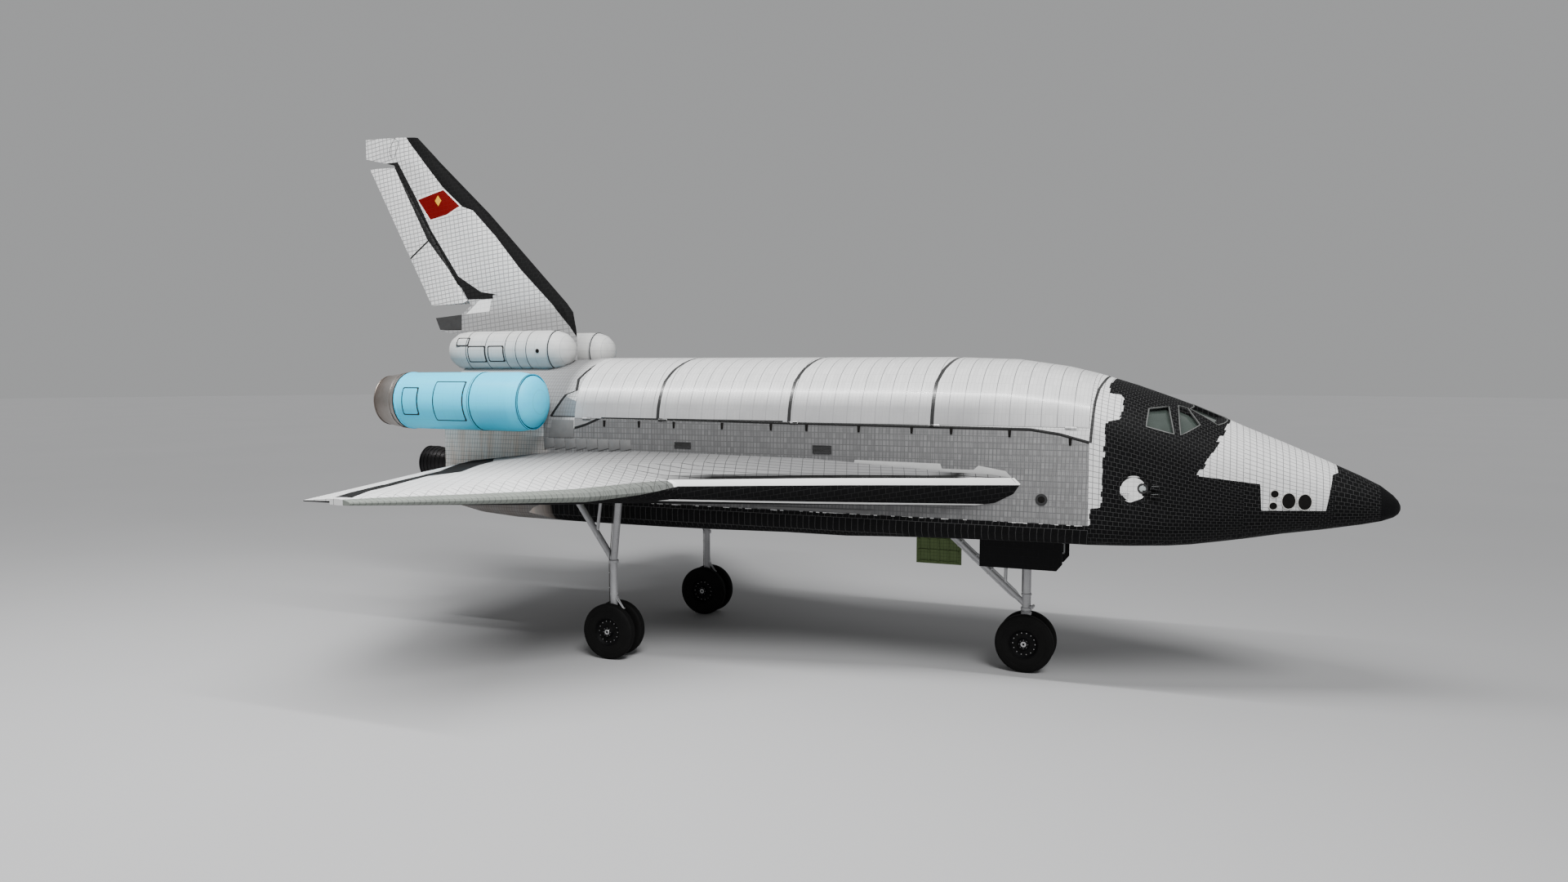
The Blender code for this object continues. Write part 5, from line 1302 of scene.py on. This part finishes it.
LEG_AFT = 23.14
for side, hand in SIDES:
    x, y = station(LEG_AFT), hand * 3.5
    links = collars(Shape(), x, y, (1.22, 0.15, 0.1), (1.62, 0.145, 0.07), (2.1, 0.14, 0.05), (3.18, 0.165, 0.1))
    scissor_links(links, x, y, 1.28, 1.98, 0.36).piece(f"main_leg_links_{side}", leg_silver)
    pipes, clips = Shape(), Shape()
    for pipe in (y + 0.1, y - 0.1):
        pipes.rod((x - 0.11, pipe, 1.3), (x - 0.11, pipe, 3.1), 0.012, 8)
        pipes.rod((x - 0.11, pipe, 3.1), (x + 0.1, pipe, 5.3), 0.012, 8)
    pipes.piece(f"main_leg_pipes_{side}", hose_rubber)
    for up in (1.45, 2.3, 2.8):
        clips.block(LEG_AFT + 0.09, LEG_AFT + 0.13, y - 0.12, y + 0.12, up, up + 0.03, edge=0.003)
    clips.piece(f"main_leg_clips_{side}", bright_steel)
print("leg fittings: 10 pieces")

# %% [markdown]
# ## Gear doors
# The doors are plain outside and stiffened inside. A grid of shallow ribs is set on each inner face.

# %% Gear doors
def door_ribs(name, fore, rear, low, high, face, inward, finish, columns, rows):
    """A rib grid on one upright door; inward is the direction from the door into the well."""
    ribs, near, far = Shape(), face - inward * 0.002, face + inward * 0.028
    for number in range(columns + 1):
        at = fore + 0.04 + (rear - fore - 0.12) * number / columns
        ribs.block(at, at + 0.04, near, far, low, high, edge=0.004)
    for number in range(rows + 1):
        at = low + (high - low - 0.04) * number / rows
        ribs.block(fore + 0.04, rear - 0.04, near, far, at, at + 0.04, edge=0.004)
    ribs.piece(name, finish)


for side, hand in SIDES:
    door_ribs(f"nose_door_ribs_{side}", 9.12, 11.5, 3.64, 4.32, hand * 0.83, -hand, frame_grey, 6, 2)
door_ribs("nose_door_aft_ribs", 12.54, 13.98, 3.1, 4.28, 0.83, -1, green_primer, 4, 3)
print("gear door ribs: 3 grids")

# %% [markdown]
# ## Payload bay
# With its doors open the bay shows its frames on a pale quilted liner. Each frame is a U of three
# beams with two small feet. Two rails run along each wall, the upper one with latch blocks, and a
# round airlock hatch closes the front.

# %% Payload bay
BAY_WALL, BAY_FLOOR = 2.465, 5.345
frames = [8.95 + 1.22 * number for number in range(13)]
beams, rails = Shape(), Shape()
for aft in frames:
    beams.block(aft, aft + 0.09, -2, 2, BAY_FLOOR, BAY_FLOOR + 0.05)
for side, hand in SIDES:
    wall = hand * BAY_WALL
    for aft in frames:
        beams.block(aft, aft + 0.09, wall, hand * 2.415, 5.82, 7.7)
        beams.plate([(aft, BAY_FLOOR), (aft + 0.09, BAY_FLOOR), (aft + 0.09, 5.4), (aft, 5.4)],
                    hand * 1.98, hand * 2.06, edge=0)
    for up in (6.55, 7.55):
        rails.block(8.45, 24.7, wall, hand * 2.395, up, up + 0.07)
    for aft in frames[1::2]:
        rails.block(aft + 0.42, aft + 0.62, wall, hand * 2.36, 7.5, 7.68, edge=0.012)
beams.piece("bay_frames", frame_grey)
rails.piece("bay_rails", bright_steel)
Shape().turned([(-0.01, 0.62), (0.05, 0.62), (0.06, 0.6), (0.06, 0.53), (0.045, 0.51), (0.045, 0.44), (0.09, 0.38),
                (0.1, 0)], (station(8.35), 0, 6.55), AFT, 40).studs(
    (station(8.4), 0, 6.55), AFT, 0.565, 20, 0.016, 0.022).piece("airlock_hatch", rim_ceramic)
print("bay frames:", len(frames))

# %% [markdown]
# Ribs stiffen the doors inside. Each starts as a strip of squares. Rays from the bay's middle line
# drop it onto the door's inner face, and extruding it towards that line gives it its depth. The ribs
# ride on their door. Plain beams cross the ceilings of the wheel wells in the same spirit.

# %% Door ribs and well beams
for side, hand in SIDES:
    door, door_tree = f"bay_door_{side}", surface_of(f"bay_door_{side}")
    ribs = Shape()
    for number in range(9):
        squares = bmesh.ops.create_grid(ribs.bm, x_segments=1, y_segments=12, size=0.5)["verts"]
        for vert in squares:
            angle = math.radians(50 + 76 * vert.co.y)
            out = Vector((0, hand * math.cos(angle), math.sin(angle)))
            start = Vector((station(9 + 1.86 * number + 0.08 * vert.co.x), 0, MIDDLE_UP))
            vert.co = door_tree.ray_cast(start, out)[0] + out * 0.01
        for vert in thicken(ribs.bm, once(f for v in squares for f in v.link_faces), (0, 0, 0)):
            vert.co -= (vert.co - Vector((vert.co.x, 0, MIDDLE_UP))).normalized() * 0.07
    ribs.piece(f"bay_door_ribs_{side}", frame_grey, body_of[door])
beams = Shape()
for aft in (9.35, 9.75, 10.75, 11.25, 11.75, 12.25, 12.75, 13.25, 13.75):
    beams.block(aft, aft + 0.05, -0.81, 0.81, 5.05, 5.099, edge=0.004)
for side, hand in SIDES:
    for aft in (22.5, 22.8, 23.5, 23.85, 24.2, 24.55, 24.9):
        beams.block(aft, aft + 0.05, hand * 3.03, hand * 4.01, 5.575, 5.619, edge=0.004)
beams.piece("wheel_well_beams", green_primer)
print("door ribs: 18, well beams: 23")

# %% [markdown]
# ## Cabin
# Two seats and an instrument panel show through the windows. A seat is a shell with a seat cushion,
# a back cushion and a head pad. Each cushion starts as a bevelled block whose faces are cut into a
# grid, and its middle is raised into a crown. At this size a simulation would add nothing visible.

# %% Cabin finishes
seat_fabric = Finish("seat_fabric", "seat_fabric")
weave, _ = seat_fabric.tiles(seat_fabric.off, seat_fabric.height + seat_fabric.aft, 0.012, 0.012, 0.004)
wear = seat_fabric.noise(9, 4)
seat_fabric.paint(seat_fabric.mix(weave * 0.5 + wear * 0.4, (0.075, 0.078, 0.085), (0.03, 0.03, 0.035)),
                  0.75 + wear * 0.1, 1 - weave, depth=0.001)
screen_glow = Finish("screen_glow", "cabin_grey")
rows, _ = screen_glow.tiles(screen_glow.off, screen_glow.height, 0.05, 0.022, 0.008)
screen_glow.paint((0.01, 0.015, 0.02), 0.12 + rows * 0.05, rows, depth=0.0005, emission_strength=0.6)
screen_glow.feed(screen_glow.tree.nodes["Principled BSDF"].inputs["Emission Color"],
                 screen_glow.mix(rows, (0.02, 0.1, 0.08), 0))
print("cabin finishes: 2")


# %% Cabin seats
def cushion(name, centre, size, lean):
    """A crowned pad: size is (deep, wide, thick), and lean turns it back about the cross axis."""
    pad = Shape()
    bm = pad.bm
    pad.box(Matrix(), size, 0)
    soften(bm, bm.edges[:], min(size) * 0.42, 3)
    bmesh.ops.subdivide_edges(bm, edges=bm.edges[:], cuts=3, use_grid_fill=True)
    for vert in bm.verts:
        u, v = 2 * vert.co.x / size[0], 2 * vert.co.y / size[1]
        vert.co.z += math.copysign(0.012 * max(0, 1 - u * u) * max(0, 1 - v * v), vert.co.z)
    turn = Matrix.Rotation(math.radians(lean), 4, "Y")
    bmesh.ops.transform(bm, matrix=Matrix.Translation(centre) @ turn, verts=bm.verts)
    made = pad.piece(name, seat_fabric, sharp=60)
    return made


for side, hand in SIDES:
    node, off = f"crew_seat_{side}", hand * 0.62
    shell, straps = Shape(), Shape()
    shell.block(6.1, 6.42, off - 0.16, off + 0.16, 7.0605, 7.36, edge=0.02)
    shell.block(5.95, 6.52, off - 0.255, off + 0.255, 7.36, 7.4, edge=0.012)
    shell.plate([(6.5, 7.4), (6.56, 7.4), (6.71, 8.1), (6.66, 8.11)], off - 0.25, off + 0.25, edge=0.01)
    for arm in (off - 0.235, off + 0.235):
        shell.rod((station(6.5), arm, 7.6), (station(6.12), arm, 7.6), 0.018)
    shell.piece(f"{node}_shell", frame_grey)
    seat = cushion(f"{node}_seat_pad", (station(6.22), off, 7.455), (0.52, 0.47, 0.09), 0)
    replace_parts(seat, node)
    cushion(f"{node}_back_pad", (station(6.535), off, 7.74), (0.09, 0.44, 0.52), -12)
    cushion(f"{node}_head_pad", (station(6.6), off, 8.035), (0.08, 0.26, 0.13), -12)
    for y in (off - 0.09, off + 0.09):
        straps.plate([(6.455, 7.52), (6.463, 7.51), (6.575, 8), (6.565, 8.01)], y - 0.022, y + 0.022, edge=0.001)
    straps.piece(f"{node}_straps", liner_felt)
print("seats: 2, cushions: 6")

# %% Instrument panel
glare, screens, keys = Shape(), Shape(), Shape()
glare.plate([(4.93, 7.66), (5.38, 7.62), (5.38, 7.65), (4.94, 7.69)], -1.38, 1.38, edge=0.008)
turn = Matrix.Rotation(-math.atan(0.1 / 0.56), 4, "Y")  # the panel's own slope
for number in range(6):
    y = -1.1 + number * 0.44
    place = Matrix.Translation((station(5.275), y, 7.5)) @ turn
    glare.box(place, (0.02, 0.34, 0.22), 0.003)
    screens.box(place @ Matrix.Translation((-0.01, 0, 0)), (0.008, 0.29, 0.17), 0.003)
    for row in range(3):
        for column in range(7):
            foot = Vector((station(5.315 + row * 0.012), y - 0.15 + column * 0.05, 7.3 - row * 0.06))
            keys.rod(foot + Vector((0.01, 0, 0)), foot - Vector((0.012, 0, 0)), 0.012, 8, edge=0)
glare.piece("panel_glare_shield", black_paint)
screens.piece("panel_screens", screen_glow)
keys.piece("panel_knobs", rim_ceramic)
print("screens: 6, knobs:", 6 * 3 * 7)

# %% [markdown]
# ## The floor's own finish
# The floor is a plain pale studio floor: one calm grey with a barely visible mottle.

# %% Floor finish
studio_floor = Finish("studio_floor", "white_tile")
mottle = studio_floor.noise(0.08, 3)
studio_floor.paint(studio_floor.mix(mottle, (0.4, 0.4, 0.405), (0.43, 0.43, 0.435)), 0.75, specular_ior_level=0.1)
floor.data.materials.append(studio_floor.material)
print("floor finished")

# %% [markdown]
# ## Last update
# The view layer is updated once more, so that every piece stands in its final place.

# %% Last update
bpy.context.view_layer.update()
